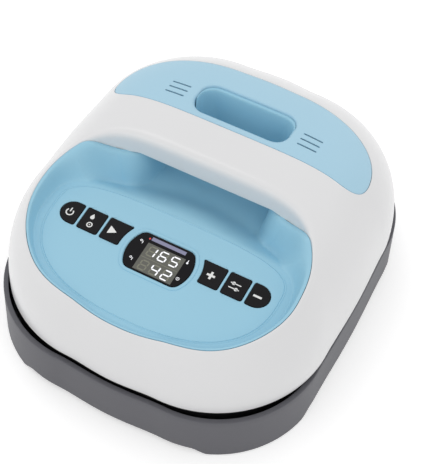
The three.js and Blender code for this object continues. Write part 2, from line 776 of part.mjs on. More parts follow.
// The display: a disc with a flat top and bottom, its four corners rounded
function displayOutline() {
  const lift = display.halfHeight - display.cornerRadius;
  const reach = display.radius - display.cornerRadius;
  const run = Math.sqrt(reach ** 2 - lift ** 2);
  const turn = Math.atan2(lift, run);
  const sideSteps = 5;
  const cornerSteps = 4;
  const half = (start) => {
    const flip = Math.cos(start);
    const cornerAt = (sign, from, to) => (
      arcPoints(flip * run, displayY + sign * flip * lift, display.cornerRadius, from, to, cornerSteps));
    return [
      ...cornerAt(-1, start - quarterTurn, start - turn),
      ...arcPoints(0, displayY, display.radius, start - turn, start + turn, sideSteps).slice(1, -1),
      ...cornerAt(1, start + turn, start + quarterTurn),
    ];
  };
  return [...half(0), ...half(Math.PI)];
}

const keyPlaces = [
  { name: 'key_power', side: -1, place: 'outer' },
  { name: 'key_mode', side: -1, place: 'middle' },
  { name: 'key_start', side: -1, place: 'inner' },
  { name: 'key_plus', side: 1, place: 'inner' },
  { name: 'key_set', side: 1, place: 'middle' },
  { name: 'key_minus', side: 1, place: 'outer' },
];

// Outline of one key opening, drawn on the right and mirrored for the left
function keyOutline(keyPlace, margin = 0) {
  const low = keyRowY - keyRow.depth / 2;
  const high = keyRowY + keyRow.depth / 2;
  const steps = 6;
  const heights = Array.from({ length: steps + 1 }, (_, i) => lerp(high, low, i / steps));
  const outlines = {
    inner: () => [
      new THREE.Vector2(keyEnd.inner, low),
      new THREE.Vector2(keyEnd.inner, high),
      ...heights.map((y) => new THREE.Vector2(Math.sqrt(keyRow.innerReach ** 2 - (y - displayY) ** 2), y)),
    ],
    middle: () => [
      new THREE.Vector2(keyEnd.inner + keyRow.gap, low),
      new THREE.Vector2(keyEnd.middle, low),
      new THREE.Vector2(keyEnd.middle, high),
      new THREE.Vector2(keyEnd.inner + keyRow.gap, high),
    ],
    outer: () => {
      const round = Array.from({ length: steps + 1 }, (_, i) => {
        const angle = lerp(-quarterTurn, quarterTurn, i / steps);
        const x = keyEnd.outer - keyRow.endRadius * (1 - Math.cos(angle));
        return new THREE.Vector2(x, keyRowY + (keyRow.depth / 2) * Math.sin(angle));
      });
      const inner = keyEnd.middle + keyRow.gap;
      return [...round, new THREE.Vector2(inner, high), new THREE.Vector2(inner, low)];
    },
  };
  const rounded = roundCorners(outlines[keyPlace.place](), keyRow.cornerRadius, quarterTurn / 2);
  const right = margin === 0 ? rounded : offsetOutline(rounded, margin);
  if (keyPlace.side > 0) return right;
  return right.map((p) => new THREE.Vector2(-p.x, p.y)).reverse();
}

const controlScrewPlaces = fourCorners(
  controls.halfWidth - controls.bossInset,
  (controls.rear - controls.front) / 2 - controls.bossInset,
).map(([x, y]) => [x, y + (controls.rear + controls.front) / 2]);

function controlPanel() {
  const rim = panelRim();
  const moulding = toSolid(loft(panelSurfaceRings(rim, panel.thickness)));
  const ringInner = offsetOutline(displayOutline(), ring.gap);
  const ringOuter = offsetOutline(displayOutline(), ring.gap + ring.width);
  const raisedRing = platformPrism(ringOuter, -ring.root, ring.height)
    .subtract(platformPrism(ringInner, -fit.overrun, fit.overrun));
  const bosses = controlScrewPlaces.map(([x, y]) => {
    const outline = circleOutline(controls.bossRadius, x, y);
    return platformPrism(outline, controlsTop + fit.seat, -panel.thickness / 2);
  });
  const bores = controlScrewPlaces.map(([x, y]) => (
    platformPrism(circleOutline(smallScrew.radius + fit.seat, x, y), controlsTop, -panel.thickness)));
  const keyHoles = keyPlaces.map((place) => platformPrism(
    keyOutline(place),
    -panel.thickness - fit.overrun / 4,
    fit.overrun,
  ));
  const seatDepth = display.thickness - display.proud + fit.seat;
  const lensSeat = platformPrism(displayOutline(), -seatDepth, fit.overrun);
  const lensWindow = platformPrism(
    offsetOutline(displayOutline(), -ledge.width),
    -panel.thickness - fit.overrun / 4,
    fit.overrun,
  );
  return cut(join(moulding, raisedRing, bosses), bores, keyHoles, lensSeat, lensWindow);
}

function circleOutline(radius, x, y, sides = smallSides) {
  return Array.from({ length: sides }, (_, i) => {
    const angle = (i / sides) * 4 * quarterTurn;
    return new THREE.Vector2(x + radius * Math.cos(angle), y + radius * Math.sin(angle));
  });
}

// Pieces in the platform's frame

function displayLens() {
  const bottom = display.proud - display.thickness;
  return prism(offsetOutline(displayOutline(), -fit.slide), bottom, display.proud);
}

function displayModule() {
  const top = display.proud - display.thickness - fit.seat;
  const bottom = controlsTop + fit.seat;
  const size = { width: ledModule.width, depth: ledModule.depth, height: top - bottom };
  return block(size, 0, displayY, bottom);
}

function keySolid(keyPlace) {
  const cap = slab(keyOutline(keyPlace, -fit.slide), keyFlangeBottom, key.proud);
  const flange = slab(keyOutline(keyPlace, key.flangeWidth - fit.slide), keyFlangeBottom, keyFlangeTop);
  const middle = keyMiddle(keyPlace);
  const stem = drum(key.stemRadius, middle, keyRowY, keyStemBottom, keyFlangeTop, smallSides);
  return join(cap, flange, stem);
}

function keyMiddle(keyPlace) {
  const outline = keyOutline(keyPlace);
  const xs = outline.map((p) => p.x);
  return (Math.min(...xs) + Math.max(...xs)) / 2;
}

// The board with a push switch soldered on under each key
function controlBoard() {
  const size = {
    width: controls.halfWidth * 2,
    depth: controls.rear - controls.front,
    height: controls.thickness,
  };
  const body = block(size, 0, (controls.rear + controls.front) / 2, controlsBottom);
  const holes = controlScrewPlaces.map(([x, y]) => (
    drum(
      smallScrew.radius + fit.seat,
      x,
      y,
      controlsBottom - fit.overrun,
      controlsTop + fit.overrun,
      smallSides,
    )));
  const switchHeight = tact.bodyHeight + controls.thickness / 2;
  const switchSize = { width: tact.width, depth: tact.width, height: switchHeight };
  const switches = keyPlaces.map(keyMiddle).flatMap((x) => [
    block(switchSize, x, keyRowY, controlsTop - controls.thickness / 2),
    drum(tact.plungerRadius, x, keyRowY, controlsTop, plungerTop, smallSides),
  ]);
  return join(cut(body, holes), switches);
}

function controlScrews() {
  const headBottom = controlsBottom - fit.seat - smallScrew.headHeight;
  return controlScrewPlaces.map(([x, y]) => screwUp(smallScrew, x, y, headBottom));
}

// Lower housing

function lowerOutline(inset = 0) {
  return roundedOutline(
    plate.width / 2 + lower.sideMargin - inset,
    plate.depth / 2 + lower.endMargin - inset,
    lower.cornerRadius - inset,
    shell.sideBow,
    shell.endBow,
  );
}

function plateOutline(margin = 0) {
  return roundedOutline(plate.width / 2 + margin, plate.depth / 2 + margin, plate.cornerRadius + margin);
}

const postPlaces = fourCorners(plate.width / 2 - post.sideInset, plate.depth / 2 - post.endInset);
const flangeBottom = tray.rimHeight + fit.seat;
const flangeTop = shell.bottom - fit.seat;
const spigotInset = shell.wall + 2 * fit.seat;

function lowerHousing() {
  const body = prism(lowerOutline(), lower.bottom, flangeTop);
  const flange = prism(shellOutline(lower.flangeInset), flangeBottom, flangeTop);
  const spigot = prism(shellOutline(spigotInset), flangeBottom, shell.bottom + lower.spigotHeight);
  const deckRoom = prism(lowerOutline(lower.wall), lower.deckTop, skyHeight);
  const flangeRoom = prism(shellOutline(spigotInset + lower.wall), flangeBottom + lower.wall, skyHeight);
  const moatFloor = lower.bottom + lower.floor;
  const moat = prism(lowerOutline(lower.wall), moatFloor, lower.deckTop + fit.overrun)
    .subtract(prism(plateOutline(lower.plateGap + lower.wall), moatFloor - fit.overrun, skyHeight));
  const pocket = prism(plateOutline(lower.plateGap), lower.bottom - fit.overrun, deckBottom);
  const pads = boardScrewPlaces.map(([x, y]) => (
    drum(board.padRadius, x, y, deckBottom, lower.deckTop + board.lift - fit.seat, smallSides)));
  const padBores = boardScrewPlaces.map(([x, y]) => (
    drum(smallScrew.radius + fit.seat, x, y, deckBottom + fit.seat, skyHeight, smallSides)));
  const postHoles = postPlaces.map(([x, y]) => (
    drum(post.boreRadius, x, y, deckBottom - fit.overrun, skyHeight, smallSides)));
  const screwHoles = bossPlaces.flatMap(([x, y]) => [
    drum(boss.boreRadius, x, y, lower.bottom - fit.overrun, moatFloor + fit.overrun, smallSides),
    drum(
      housingScrew.headRadius + fit.seat,
      x,
      y,
      lower.bottom - fit.overrun,
      lower.bottom + housingScrew.headHeight + 2 * fit.seat,
      smallSides,
    ),
  ]);
  const leadHole = block(
    { width: lead.spacing * 2 + lead.radius * 4, depth: lead.spacing, height: lower.deckThickness * 3 },
    0,
    leadHoleY,
    deckBottom - lower.deckThickness,
  );
  const whole = cut(join(body, flange, spigot), deckRoom, flangeRoom, moat, pocket);
  return cut(join(whole, pads), padBores, postHoles, screwHoles, leadHole);
}

const leadHoleY = boardCentreY + terminal.shiftY - terminal.depth;

function housingScrews() {
  return bossPlaces.map(([x, y]) => screwUp(housingScrew, x, y, lower.bottom + fit.seat));
}

function handleScrews() {
  return handleScrewPlaces.map(([x, y]) => screwUp(smallScrew, x, y, handleUndersideHeight));
}

// Heater stack

function heatPlate() {
  return toSolid(loft([
    level(plateOutline(-plate.edgeChamfer), plate.restHeight),
    level(plateOutline(), plate.restHeight + plate.edgeChamfer),
    level(plateOutline(), plateTop),
  ]));
}

// A flat serpentine of straight passes, joined by half circles, drawn as one curve
function elementCurve() {
  const middle = (elementPasses - 1) / 2;
  const passes = Array.from({ length: elementPasses }, (_, i) => (i - middle) * elementPitch);
  const bendRadius = elementPitch / 2;
  const runHalf = plate.depth / 2 - element.endInset - bendRadius;
  const path = new THREE.CurvePath();
  passes.forEach((x, i) => {
    const up = i % 2 === 0 ? 1 : -1;
    const from = new THREE.Vector3(x, -up * runHalf, elementHeight);
    const to = new THREE.Vector3(x, up * runHalf, elementHeight);
    path.add(new THREE.LineCurve3(from, to));
    if (i + 1 === passes.length) return;
    const kappa = (4 / 3) * bendRadius;
    const next = to.clone().setX(x + elementPitch);
    const controlA = to.clone().add(new THREE.Vector3(0, up * kappa, 0));
    const controlB = next.clone().add(new THREE.Vector3(0, up * kappa, 0));
    path.add(new THREE.CubicBezierCurve3(to, controlA, controlB, next));
  });
  return path;
}

function heatingElement() {
  const section = new THREE.Shape(circleOutline(element.radius, 0, 0, elementSides));
  const geometry = new THREE.ExtrudeGeometry(section, {
    steps: elementSteps,
    extrudePath: elementCurve(),
    bevelEnabled: false,
  });
  return toSolid(geometry);
}

function blanketSolid() {
  const body = prism(plateOutline(-blanket.inset), blanketBottom, blanketBottom + blanket.thickness);
  return cut(body, stackHoles(blanketBottom));
}

function shieldSolid() {
  const body = prism(plateOutline(-shield.inset), shieldBottom, shieldBottom + shield.thickness);
  return cut(body, stackHoles(shieldBottom));
}

// Holes that the posts, the cut-out and the heater leads pass through
function stackHoles(bottom) {
  const low = bottom - fit.overrun;
  const high = bottom + blanket.thickness + fit.overrun;
  const posts = postPlaces.map(([x, y]) => drum(post.radius + fit.seat, x, y, low, high, smallSides));
  const slot = { width: lead.spacing * 2 + lead.radius * 4, depth: lead.spacing, height: high - low };
  return [...posts, block(slot, 0, leadHoleY, low)];
}

function platePosts() {
  return postPlaces.map(([x, y]) => cut(
    drum(post.radius, x, y, plateTop + fit.seat, deckBottom - fit.seat, smallSides),
    drum(post.boreRadius, x, y, deckBottom - post.boreDepth, deckBottom, smallSides),
  ));
}

function plateScrews() {
  const size = {
    radius: post.boreRadius - fit.seat,
    headRadius: post.headRadius,
    headHeight: post.headHeight,
    length: lower.deckThickness + post.boreDepth - fit.seat * 3,
  };
  return postPlaces.map(([x, y]) => screwDown(size, x, y, lower.deckTop + fit.seat));
}

// The cut-out and the sensor stand midway between two passes of the element
function thermalCutout() {
  const bottom = plateTop + fit.seat;
  return drum(cutout.radius, elementPitch, cutout.shiftY, bottom, bottom + cutout.height);
}

function temperatureSensor() {
  const bottom = plateTop + fit.seat;
  const lug = { width: sensor.lugWidth, depth: sensor.lugLength, height: sensor.lugThickness };
  return join(
    block(lug, -elementPitch, sensor.shiftY, bottom),
    drum(sensor.radius, -elementPitch, sensor.shiftY, bottom, bottom + sensor.height, smallSides),
  );
}

// Main board and what stands on it

const boardBottom = lower.deckTop + board.lift;
const boardTop = boardBottom + board.thickness;
const boardScrewPlaces = fourCorners(board.width / 2 - board.padInset, board.depth / 2 - board.padInset)
  .map(([x, y]) => [x, y + boardCentreY]);

function powerBoard() {
  const size = { width: board.width, depth: board.depth, height: board.thickness };
  const holes = boardScrewPlaces.map(([x, y]) => (
    drum(smallScrew.radius + fit.seat, x, y, boardBottom - fit.overrun, boardTop + fit.overrun, smallSides)));
  return cut(block(size, 0, boardCentreY, boardBottom), holes);
}

function boardScrews() {
  return boardScrewPlaces.map(([x, y]) => screwDown(smallScrew, x, y, boardTop + fit.seat));
}

function onBoard(size) {
  return block(size, size.shiftX, boardCentreY + size.shiftY, boardTop + fit.seat);
}

function capacitorSolid() {
  const bottom = boardTop + fit.seat;
  const y = boardCentreY + capacitor.shiftY;
  return drum(capacitor.radius, capacitor.shiftX, y, bottom, bottom + capacitor.height);
}

function fuseSolid() {
  const geometry = new THREE.CylinderGeometry(fuse.radius, fuse.radius, fuse.length, smallSides);
  geometry.rotateZ(quarterTurn);
  geometry.translate(fuse.shiftX, boardCentreY + fuse.shiftY, boardTop + fit.seat + fuse.radius);
  return toSolid(geometry);
}

// Cord inlet

function glandDrum(radius, fromY, toY, sides = roundSides) {
  const geometry = new THREE.CylinderGeometry(radius, radius, toY - fromY, sides);
  geometry.translate(0, (toY + fromY) / 2, gland.height);
  return toSolid(geometry);
}

function cordGland() {
  const wallY = shellWallY(gland.height) + fit.seat;
  const inner = wallY - gland.length;
  const body = glandDrum(gland.radius, inner, wallY + gland.flangeThickness / 2);
  const flange = glandDrum(gland.flangeRadius, wallY, wallY + gland.flangeThickness);
  const bore = glandDrum(gland.boreRadius, inner - fit.overrun, wallY + gland.flangeThickness + fit.overrun);
  return cut(join(body, cut(flange, domeSolid(-fit.seat))), bore);
}

// Where the rear wall's outer face lies at a height, on the middle line
function shellWallY(z) {
  let inside = 0;
  let outside = shellHalfDepth;
  for (let i = 0; i < searchSteps; i += 1) {
    const y = (inside + outside) / 2;
    if (domeHeight({ x: 0, y }) > z) inside = y;
    else outside = y;
  }
  return outside;
}

// Base tray

function trayOutline(margin = 0) {
  return roundedOutline(
    trayHalfWidth + margin,
    trayHalfDepth + margin,
    tray.cornerRadius + margin,
    shell.sideBow,
    shell.endBow,
  );
}

// A wedge-ended cutter that lifts the tray's wall between two of its corner feet
function spanCutter(halfSpan, alongX) {
  const top = trayFloorBottom;
  const widest = halfSpan + tray.notchRun;
  const past = trayHalfDepth + fit.overrun * 2;
  const low = tray.groundGap - fit.overrun;
  const profile = [
    new THREE.Vector2(-widest - fit.overrun, low),
    new THREE.Vector2(widest + fit.overrun, low),
    new THREE.Vector2(halfSpan, top),
    new THREE.Vector2(-halfSpan, top),
  ];
  const shape = new THREE.Shape(profile);
  const geometry = new THREE.ExtrudeGeometry(shape, { depth: past * 2, bevelEnabled: false });
  geometry.translate(0, 0, -past);
  geometry.rotateX(quarterTurn);
  if (alongX) geometry.rotateZ(quarterTurn);
  return toSolid(geometry);
}

const footPlaces = fourCorners(trayHalfWidth - foot.sideInset, trayHalfDepth - foot.endInset);

function baseTray() {
  const outer = toSolid(loft([
    level(trayOutline(tray.draft), tray.groundGap),
    level(trayOutline(), tray.rimHeight - tray.rimChamfer),
    level(trayOutline(-tray.rimChamfer), tray.rimHeight),
  ]));
  const well = prism(trayOutline(-tray.rimWidth), trayFloorTop, tray.rimHeight + fit.overrun);
  const under = prism(trayOutline(tray.draft - tray.wall), tray.groundGap - fit.overrun, trayFloorBottom);
  const spans = [
    spanCutter(trayHalfDepth - tray.sideSpanInset, true),
    spanCutter(trayHalfWidth - tray.endSpanInset, false),
  ];
  const bossRadius = foot.radius + foot.bossWall;
  const footBosses = footPlaces.map(([x, y]) => (
    drum(bossRadius, x, y, tray.groundGap, trayFloorBottom + tray.floorThickness / 2)));
  const footSeats = footPlaces.map(([x, y]) => (
    drum(foot.radius + fit.seat, x, y, tray.groundGap - fit.overrun, foot.thickness + fit.seat)));
  return cut(join(cut(outer, well, under, spans), footBosses), footSeats);
}

function rubberFeet() {
  return footPlaces.map(([x, y]) => drum(foot.radius, x, y, 0, foot.thickness));
}

function restStrips() {
  const bottom = trayFloorTop + fit.seat;
  const size = {
    width: plate.width - 2 * rest.sideInset,
    depth: rest.depth,
    height: plate.restHeight - fit.seat - bottom,
  };
  return [-restY, restY].map((y) => block(size, 0, y, bottom));
}

function insulatingMat() {
  const halfWidth = plate.width / 2 - mat.sideInset;
  const halfDepth = restY - rest.depth / 2 - mat.stripGap;
  const outline = roundedOutline(halfWidth, halfDepth, mat.cornerRadius, 0, 0, cornerFacets);
  const bottom = trayFloorTop + fit.seat;
  return prism(outline, bottom, bottom + mat.thickness);
}

// The whole object

const heatPress = new THREE.Group();
const platformGroup = new THREE.Group();
platformGroup.position.set(0, displayCentreY, platform.height);
platformGroup.rotation.x = platformTilt;
heatPress.add(platformGroup);

function addPiece(group, name, solid, finish) {
  const mesh = new THREE.Mesh(toGeometry(solid), new THREE.MeshStandardMaterial(finish));
  mesh.name = name;
  group.add(mesh);
}

function addEach(group, name, solids, finish) {
  solids.forEach((solid, i) => addPiece(group, `${name}_${i + 1}`, solid, finish));
}

addPiece(heatPress, 'base_tray', baseTray(), paint.grey);
addEach(heatPress, 'rubber_foot', rubberFeet(), paint.rubber);
addEach(heatPress, 'rest_strip', restStrips(), paint.silicone);
addPiece(heatPress, 'insulating_mat', insulatingMat(), paint.fibre);

addPiece(heatPress, 'upper_housing', upperHousing(), paint.white);
addPiece(heatPress, 'handle_underside', handleUnderside(), paint.white);
addEach(heatPress, 'handle_screw', handleScrews(), paint.steel);
addPiece(heatPress, 'control_panel', controlPanel(), paint.blue);
addPiece(heatPress, 'rear_cover', rearCover(), paint.paleBlue);
addPiece(heatPress, 'lower_housing', lowerHousing(), paint.black);
addEach(heatPress, 'housing_screw', housingScrews(), paint.steel);
addPiece(heatPress, 'cord_gland', cordGland(), paint.black);

addPiece(heatPress, 'heat_plate', heatPlate(), paint.aluminium);
addPiece(heatPress, 'heating_element', heatingElement(), paint.steel);
addPiece(heatPress, 'insulation_blanket', blanketSolid(), paint.fibre);
addPiece(heatPress, 'heat_shield', shieldSolid(), paint.steel);
addEach(heatPress, 'plate_post', platePosts(), paint.steel);
addEach(heatPress, 'plate_screw', plateScrews(), paint.steel);
addPiece(heatPress, 'thermal_cutout', thermalCutout(), paint.component);
addPiece(heatPress, 'temperature_sensor', temperatureSensor(), paint.steel);

addPiece(heatPress, 'power_board', powerBoard(), paint.circuitGreen);
addEach(heatPress, 'board_screw', boardScrews(), paint.steel);
addPiece(heatPress, 'transformer', onBoard(transformer), paint.component);
addPiece(heatPress, 'relay', onBoard(relay), paint.component);
addPiece(heatPress, 'terminal_block', onBoard(terminal), paint.component);
addPiece(heatPress, 'capacitor', capacitorSolid(), paint.component);
addPiece(heatPress, 'fuse', fuseSolid(), paint.steel);

addPiece(platformGroup, 'display_lens', displayLens(), paint.glossBlack);
addPiece(platformGroup, 'display_module', displayModule(), paint.component);
addPiece(platformGroup, 'control_board', controlBoard(), paint.circuitGreen);
addEach(platformGroup, 'control_screw', controlScrews(), paint.steel);
keyPlaces.forEach((place) => addPiece(platformGroup, place.name, keySolid(place), paint.keyBlack));

export default heatPress;
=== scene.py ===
"""The look of a handheld heat press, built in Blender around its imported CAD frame.

Sizes are in millimetres and are turned into Blender's metres where a mesh is made.
The frame stands on z = 0, with +Z up and +Y to the rear.
"""

import math

import bmesh
import bpy
import numpy as np
from mathutils import Matrix, Vector
from mathutils.geometry import delaunay_2d_cdt


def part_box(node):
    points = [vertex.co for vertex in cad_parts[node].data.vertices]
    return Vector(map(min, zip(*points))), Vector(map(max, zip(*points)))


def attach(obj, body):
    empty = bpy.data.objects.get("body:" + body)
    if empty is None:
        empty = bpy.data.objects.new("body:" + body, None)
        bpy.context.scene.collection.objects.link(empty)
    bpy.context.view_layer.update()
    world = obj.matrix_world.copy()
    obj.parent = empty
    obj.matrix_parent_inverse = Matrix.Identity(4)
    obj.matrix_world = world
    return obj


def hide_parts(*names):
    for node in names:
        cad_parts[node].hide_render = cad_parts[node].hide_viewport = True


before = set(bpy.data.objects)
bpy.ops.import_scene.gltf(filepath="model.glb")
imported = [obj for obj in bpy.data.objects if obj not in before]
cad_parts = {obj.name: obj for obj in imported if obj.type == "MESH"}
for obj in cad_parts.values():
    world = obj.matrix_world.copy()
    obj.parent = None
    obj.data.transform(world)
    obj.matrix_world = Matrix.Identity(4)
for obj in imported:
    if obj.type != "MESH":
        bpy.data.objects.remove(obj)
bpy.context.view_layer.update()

MM = 0.001
QUARTER = math.pi / 2
SHARP_ANGLE = math.radians(38)
SHARP_TURN = QUARTER / 2
WELD_DISTANCE = 0.01

# Counts of points, and their spacing along edges and over surfaces

OUTLINE_POINTS = 720
COVER_POINTS = 400
PROFILE_POINTS = 3000
LEAST_IN_ROW = 12
POINTS_AT_ONCE = 2000
SHELL_SPACING = 3.2
COVER_SPACING = 3.0
FOOT_SPACING = 3.0
EDGE_SPACING = 2.2
FINE_SPACING = 1.6
RIM_SPACING = 1.0
DISPLAY_SPACING = 0.9
GRID_SPACING = 5.0

# How far the points inside a surface stay from its edges

LIP_CLEARANCE = 1.6
BORDER_CLEARANCE = 1.4
HOLE_CLEARANCE = 1.2
VENT_CLEARANCE = 1.0
GRID_CLEARANCE = 2.0

# What counts as the same point, as no area, as no share and as the end of an edge

SAME_POINT = 1e-5
NO_AREA = 1e-7
NO_SHARE = 1e-6
END_SLACK = 1e-9


def node_box(name):
    """Lowest and highest corner of a CAD node, in millimetres."""
    low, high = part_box(name)
    return np.array(low) / MM, np.array(high) / MM


# Camera, fitted to the photograph

IMAGE_HEIGHT = 464
VIEW_AZIMUTH = math.radians(24.492)
VIEW_ELEVATION = math.radians(52.705)
VIEW_ROLL = math.radians(4.022)
VIEW_DISTANCE = 1098.9
VIEW_TARGET = np.array([5.25, 23.3, 40.0])
FOCAL_PIXELS = 1181.3
SENSOR = 36.0


def add_camera():
    """The camera that sees the frame as the photograph does."""
    sin_a, cos_a = math.sin(VIEW_AZIMUTH), math.cos(VIEW_AZIMUTH)
    sin_e, cos_e = math.sin(VIEW_ELEVATION), math.cos(VIEW_ELEVATION)
    forward = Vector((-sin_a * cos_e, cos_a * cos_e, -sin_e))
    right = Vector((cos_a, sin_a, 0))
    up = right.cross(forward)
    turned_right = right * math.cos(VIEW_ROLL) + up * math.sin(VIEW_ROLL)
    turned_up = up * math.cos(VIEW_ROLL) - right * math.sin(VIEW_ROLL)
    data = bpy.data.cameras.new("photo_camera")
    data.sensor_width = SENSOR
    data.lens = SENSOR * FOCAL_PIXELS / IMAGE_HEIGHT
    camera = bpy.data.objects.new("photo_camera", data)
    bpy.context.scene.collection.objects.link(camera)
    rotation = Matrix((turned_right, turned_up, -forward)).transposed().to_4x4()
    place = Vector(VIEW_TARGET) * MM - forward * VIEW_DISTANCE * MM
    camera.matrix_world = Matrix.Translation(place) @ rotation
    bpy.context.scene.camera = camera


add_camera()

# Sizes, from the frame where a node has them

shell_high = node_box("upper_housing")[1]
SHELL_HALF_X = shell_high[0]
SHELL_HALF_Y = shell_high[1]
SHELL_BOTTOM = 57.5
SHELL_CROWN = 107.98
SHELL_REAR_DROP = 8.5
SHELL_RADIUS = 106.0
SHELL_WALL = 3.0
SIDE_BOW = 1.7
END_BOW = 2.8
CROWN_POWER = 4.5
SHOULDER_POWER = 2.2

SCOOP_CENTRE_Y = -77.0
SCOOP_HALF_X = 122.0
SCOOP_FRONT = 78.5
SCOOP_REAR = 83.0
SCOOP_SIDE_POWER = 2.1
SCOOP_FRONT_POWER = 2.85
SCOOP_REAR_POWER = 2.5
SCOOP_TURN_POWER = 2.4
SCOOP_BLEND = 5.0

HANDLE_FRONT = -6.0
HANDLE_REAR = 48.0
HANDLE_UNDERSIDE = 141.0
HANDLE_LIP = 11.0
FRONT_LIP = 3.0
LIP_FULLNESS = 0.75
LIP_SHARES = (0.5, 0.97)
RIM_SHARES = (0.66, 0.975)
RIM_SINK = 1.6
COLLAR_DEPTH = 8.0
LEAST_COLLAR = 0.5
COLLAR_REAR = HANDLE_UNDERSIDE + 2.9
COLLAR_RISE_START = 3.0
COLLAR_RISE_END = 1.0

HATCH_HALF_X = 46.0
HATCH_REAR = 84.0
HATCH_RADIUS = 14.0
HATCH_LIP = 3.0
HATCH_FRONT_LIP = 9.0
HATCH_COLLAR = 5.5
HATCH_COLLAR_SHARE = 0.75

COVER_FRONT = 38.4
COVER_CENTRE_Y = 50.0
COVER_HALF_X = 123.3
COVER_DEPTH_Y = 68.0
COVER_POWER = 2.57
COVER_RADIUS = 20.0
COVER_GAP = 0.35
COVER_EDGE = 0.5
COVER_DEPTH = 2.2
VENT_LENGTH = 18.5
VENT_WIDTH = 1.8
VENT_ROWS = (55.0, 62.0, 69.0)
VENT_INNER_X = 55.0
VENT_EDGE = 0.4
VENT_ROUND_SHARE = 0.98

PLATFORM_FRONT_Y = -148.0
PLATFORM_REAR_Y = -44.0
PLATFORM_LENGTH = PLATFORM_REAR_Y - PLATFORM_FRONT_Y
PLATFORM_MIDDLE_SHARE = 0.673
PLATFORM_CENTRE_Y = PLATFORM_FRONT_Y + PLATFORM_LENGTH * PLATFORM_MIDDLE_SHARE
PLATFORM_HALF_X = 105.0
PLATFORM_FRONT_POWER = 2.4
PLATFORM_REAR_POWER = 3.5
DISPLAY_MIDDLE_SHARE = 0.596
DATUM_Y = PLATFORM_FRONT_Y + PLATFORM_LENGTH * DISPLAY_MIDDLE_SHARE
DATUM_Z = 124.9
SLOPE = 0.08
TILT = math.atan(SLOPE)
STEP = 0.25
STEP_RUN = 1.4
PANEL_THICKNESS = 3.6
GRID_FRONT_INSET = 3.0

# Rows of points out from the platform's edge, and the groove and the bead that run round there
STEP_ROWS = (0, 0.25, 0.5, 0.75, 1.0, 1.3, 1.6, 1.9, 2.2, 2.5, 2.9)
GROOVE_PLACE = 0.5
GROOVE_DEPTH = 0.4
GROOVE_WIDTH = 0.35
BEAD_PLACE = 1.5
BEAD_HEIGHT = 0.35
BEAD_WIDTH = 0.45

TUNNEL_FLOOR = 108.0
NOSE_REACH = 24.0
TUNNEL_REAR_INSET = 2.0
TUNNEL_SIDE_RUN = 50.0
WALL_RUN = 12.0
TUNNEL_WALL_RUN = 24.0
WALL_SHARES = (0.5, 0.75)
FLOOR_SHARES = np.linspace(0, 1, 26)[1:]
RISE_SHARES = np.linspace(0, 1, 20)[1:]
WALL_CHANGE_START = -20.0
WALL_CHANGE_END = 45.0
RIM_RUN = 2.0
RIM_SHARE = 0.25
RIM_SKIRT = 2.5
DIP_RUN = 46.0
SHORT_RUN = 20.0
LONG_RUN = 60.0

DISPLAY_RADIUS = 30.0
DISPLAY_HALF_Y = 18.9
DISPLAY_CORNER = 8.0
DISPLAY_Y = DATUM_Y
RING_GAP = 0.6
HOLE_EDGE = 0.5
HOLE_EDGE_SHARES = (0.4, 1)

# Cross-section of the display's ring: how far out and how high each of its edges lies
RING_PROFILE = ((0.0, -0.3), (0.0, 0.3), (0.4, 0.6), (1.0, 0.75), (2.0, 0.75), (2.6, 0.5), (2.9, -0.3))

KEY_Y = DATUM_Y + 6.7
KEY_DEPTH = 22.4
KEY_REACH = 37.4
KEY_GAP = 2.2
KEY_INNER = 56.0
KEY_MIDDLE = 78.0
KEY_OUTER = 98.5
KEY_END_RADIUS = 12.0
KEY_CORNER = 2.2
KEY_CLEARANCE = 0.35
KEY_SKIRT = 3.5
KEY_PROUD = 0.4
KEY_EDGE = 0.5
KEY_FACE_INSET = 0.3
SEAT = 0.3

# Outlines in plan, as arrays of points, counter-clockwise


def smoothstep(value, low, high):
    """0 up to a low value, 1 from a high one, with a soft change between them."""
    share = np.clip((np.asarray(value, float) - low) / (high - low), 0, 1)
    return share * share * (3 - 2 * share)


def lerp(a, b, share):
    """The value that lies a share of the way from one value to another."""
    return a + (b - a) * share


def quarter_turn(steps):
    """The angles of a quarter turn, without its start."""
    return np.linspace(0, QUARTER, steps + 1)[1:]


def rounded_outline(half_x, half_y, radius, bow_x=0.0, bow_y=0.0, corner=24, side=16):
    """A rectangle with round corners, its sides bowed outwards between them."""
    core_x, core_y = half_x - bow_x - radius, half_y - bow_y - radius
    points = []
    for quarter, (sx, sy) in enumerate(((1, 1), (-1, 1), (-1, -1), (1, -1))):
        for i in range(corner + 1):
            angle = (quarter + i / corner) * QUARTER
            points.append((sx * core_x + radius * math.cos(angle), sy * core_y + radius * math.sin(angle)))
        on_end = quarter % 2 == 0
        half = core_x if on_end else core_y
        reach = radius + (core_y if on_end else core_x)
        bow = bow_y if on_end else bow_x
        cos, sin = math.cos((quarter + 1) * QUARTER), math.sin((quarter + 1) * QUARTER)
        for i in range(1, side):
            share = 1 - 2 * i / side
            along, out = half * share, reach + bow * (1 - share**2) ** 2
            points.append((out * cos + along * sin, out * sin - along * cos))
    return np.array(points)


outline_angles = np.arange(OUTLINE_POINTS) / OUTLINE_POINTS * 2 * math.pi


def oval_outline(centre_y, half_x, front, rear, front_power, rear_power):
    """A superellipse whose front and rear halves may differ."""
    cos, sin = np.cos(outline_angles), np.sin(outline_angles)
    power = np.where(sin < 0, 2 / front_power, 2 / rear_power)
    reach = np.where(sin < 0, front, rear)
    x = half_x * np.sign(cos) * np.abs(cos) ** power
    y = centre_y + reach * np.sign(sin) * np.abs(sin) ** power
    return np.column_stack([x, y])


def resampled(outline, spacing):
    """The closed outline again, with its points evenly spaced along it."""
    closed = np.vstack([outline, outline[:1]])
    run = np.concatenate([[0], np.cumsum(np.hypot(*np.diff(closed, axis=0).T))])
    count = int(run[-1] / spacing)
    at = np.arange(count) / count * run[-1]
    return np.column_stack([np.interp(at, run, closed[:, k]) for k in (0, 1)])


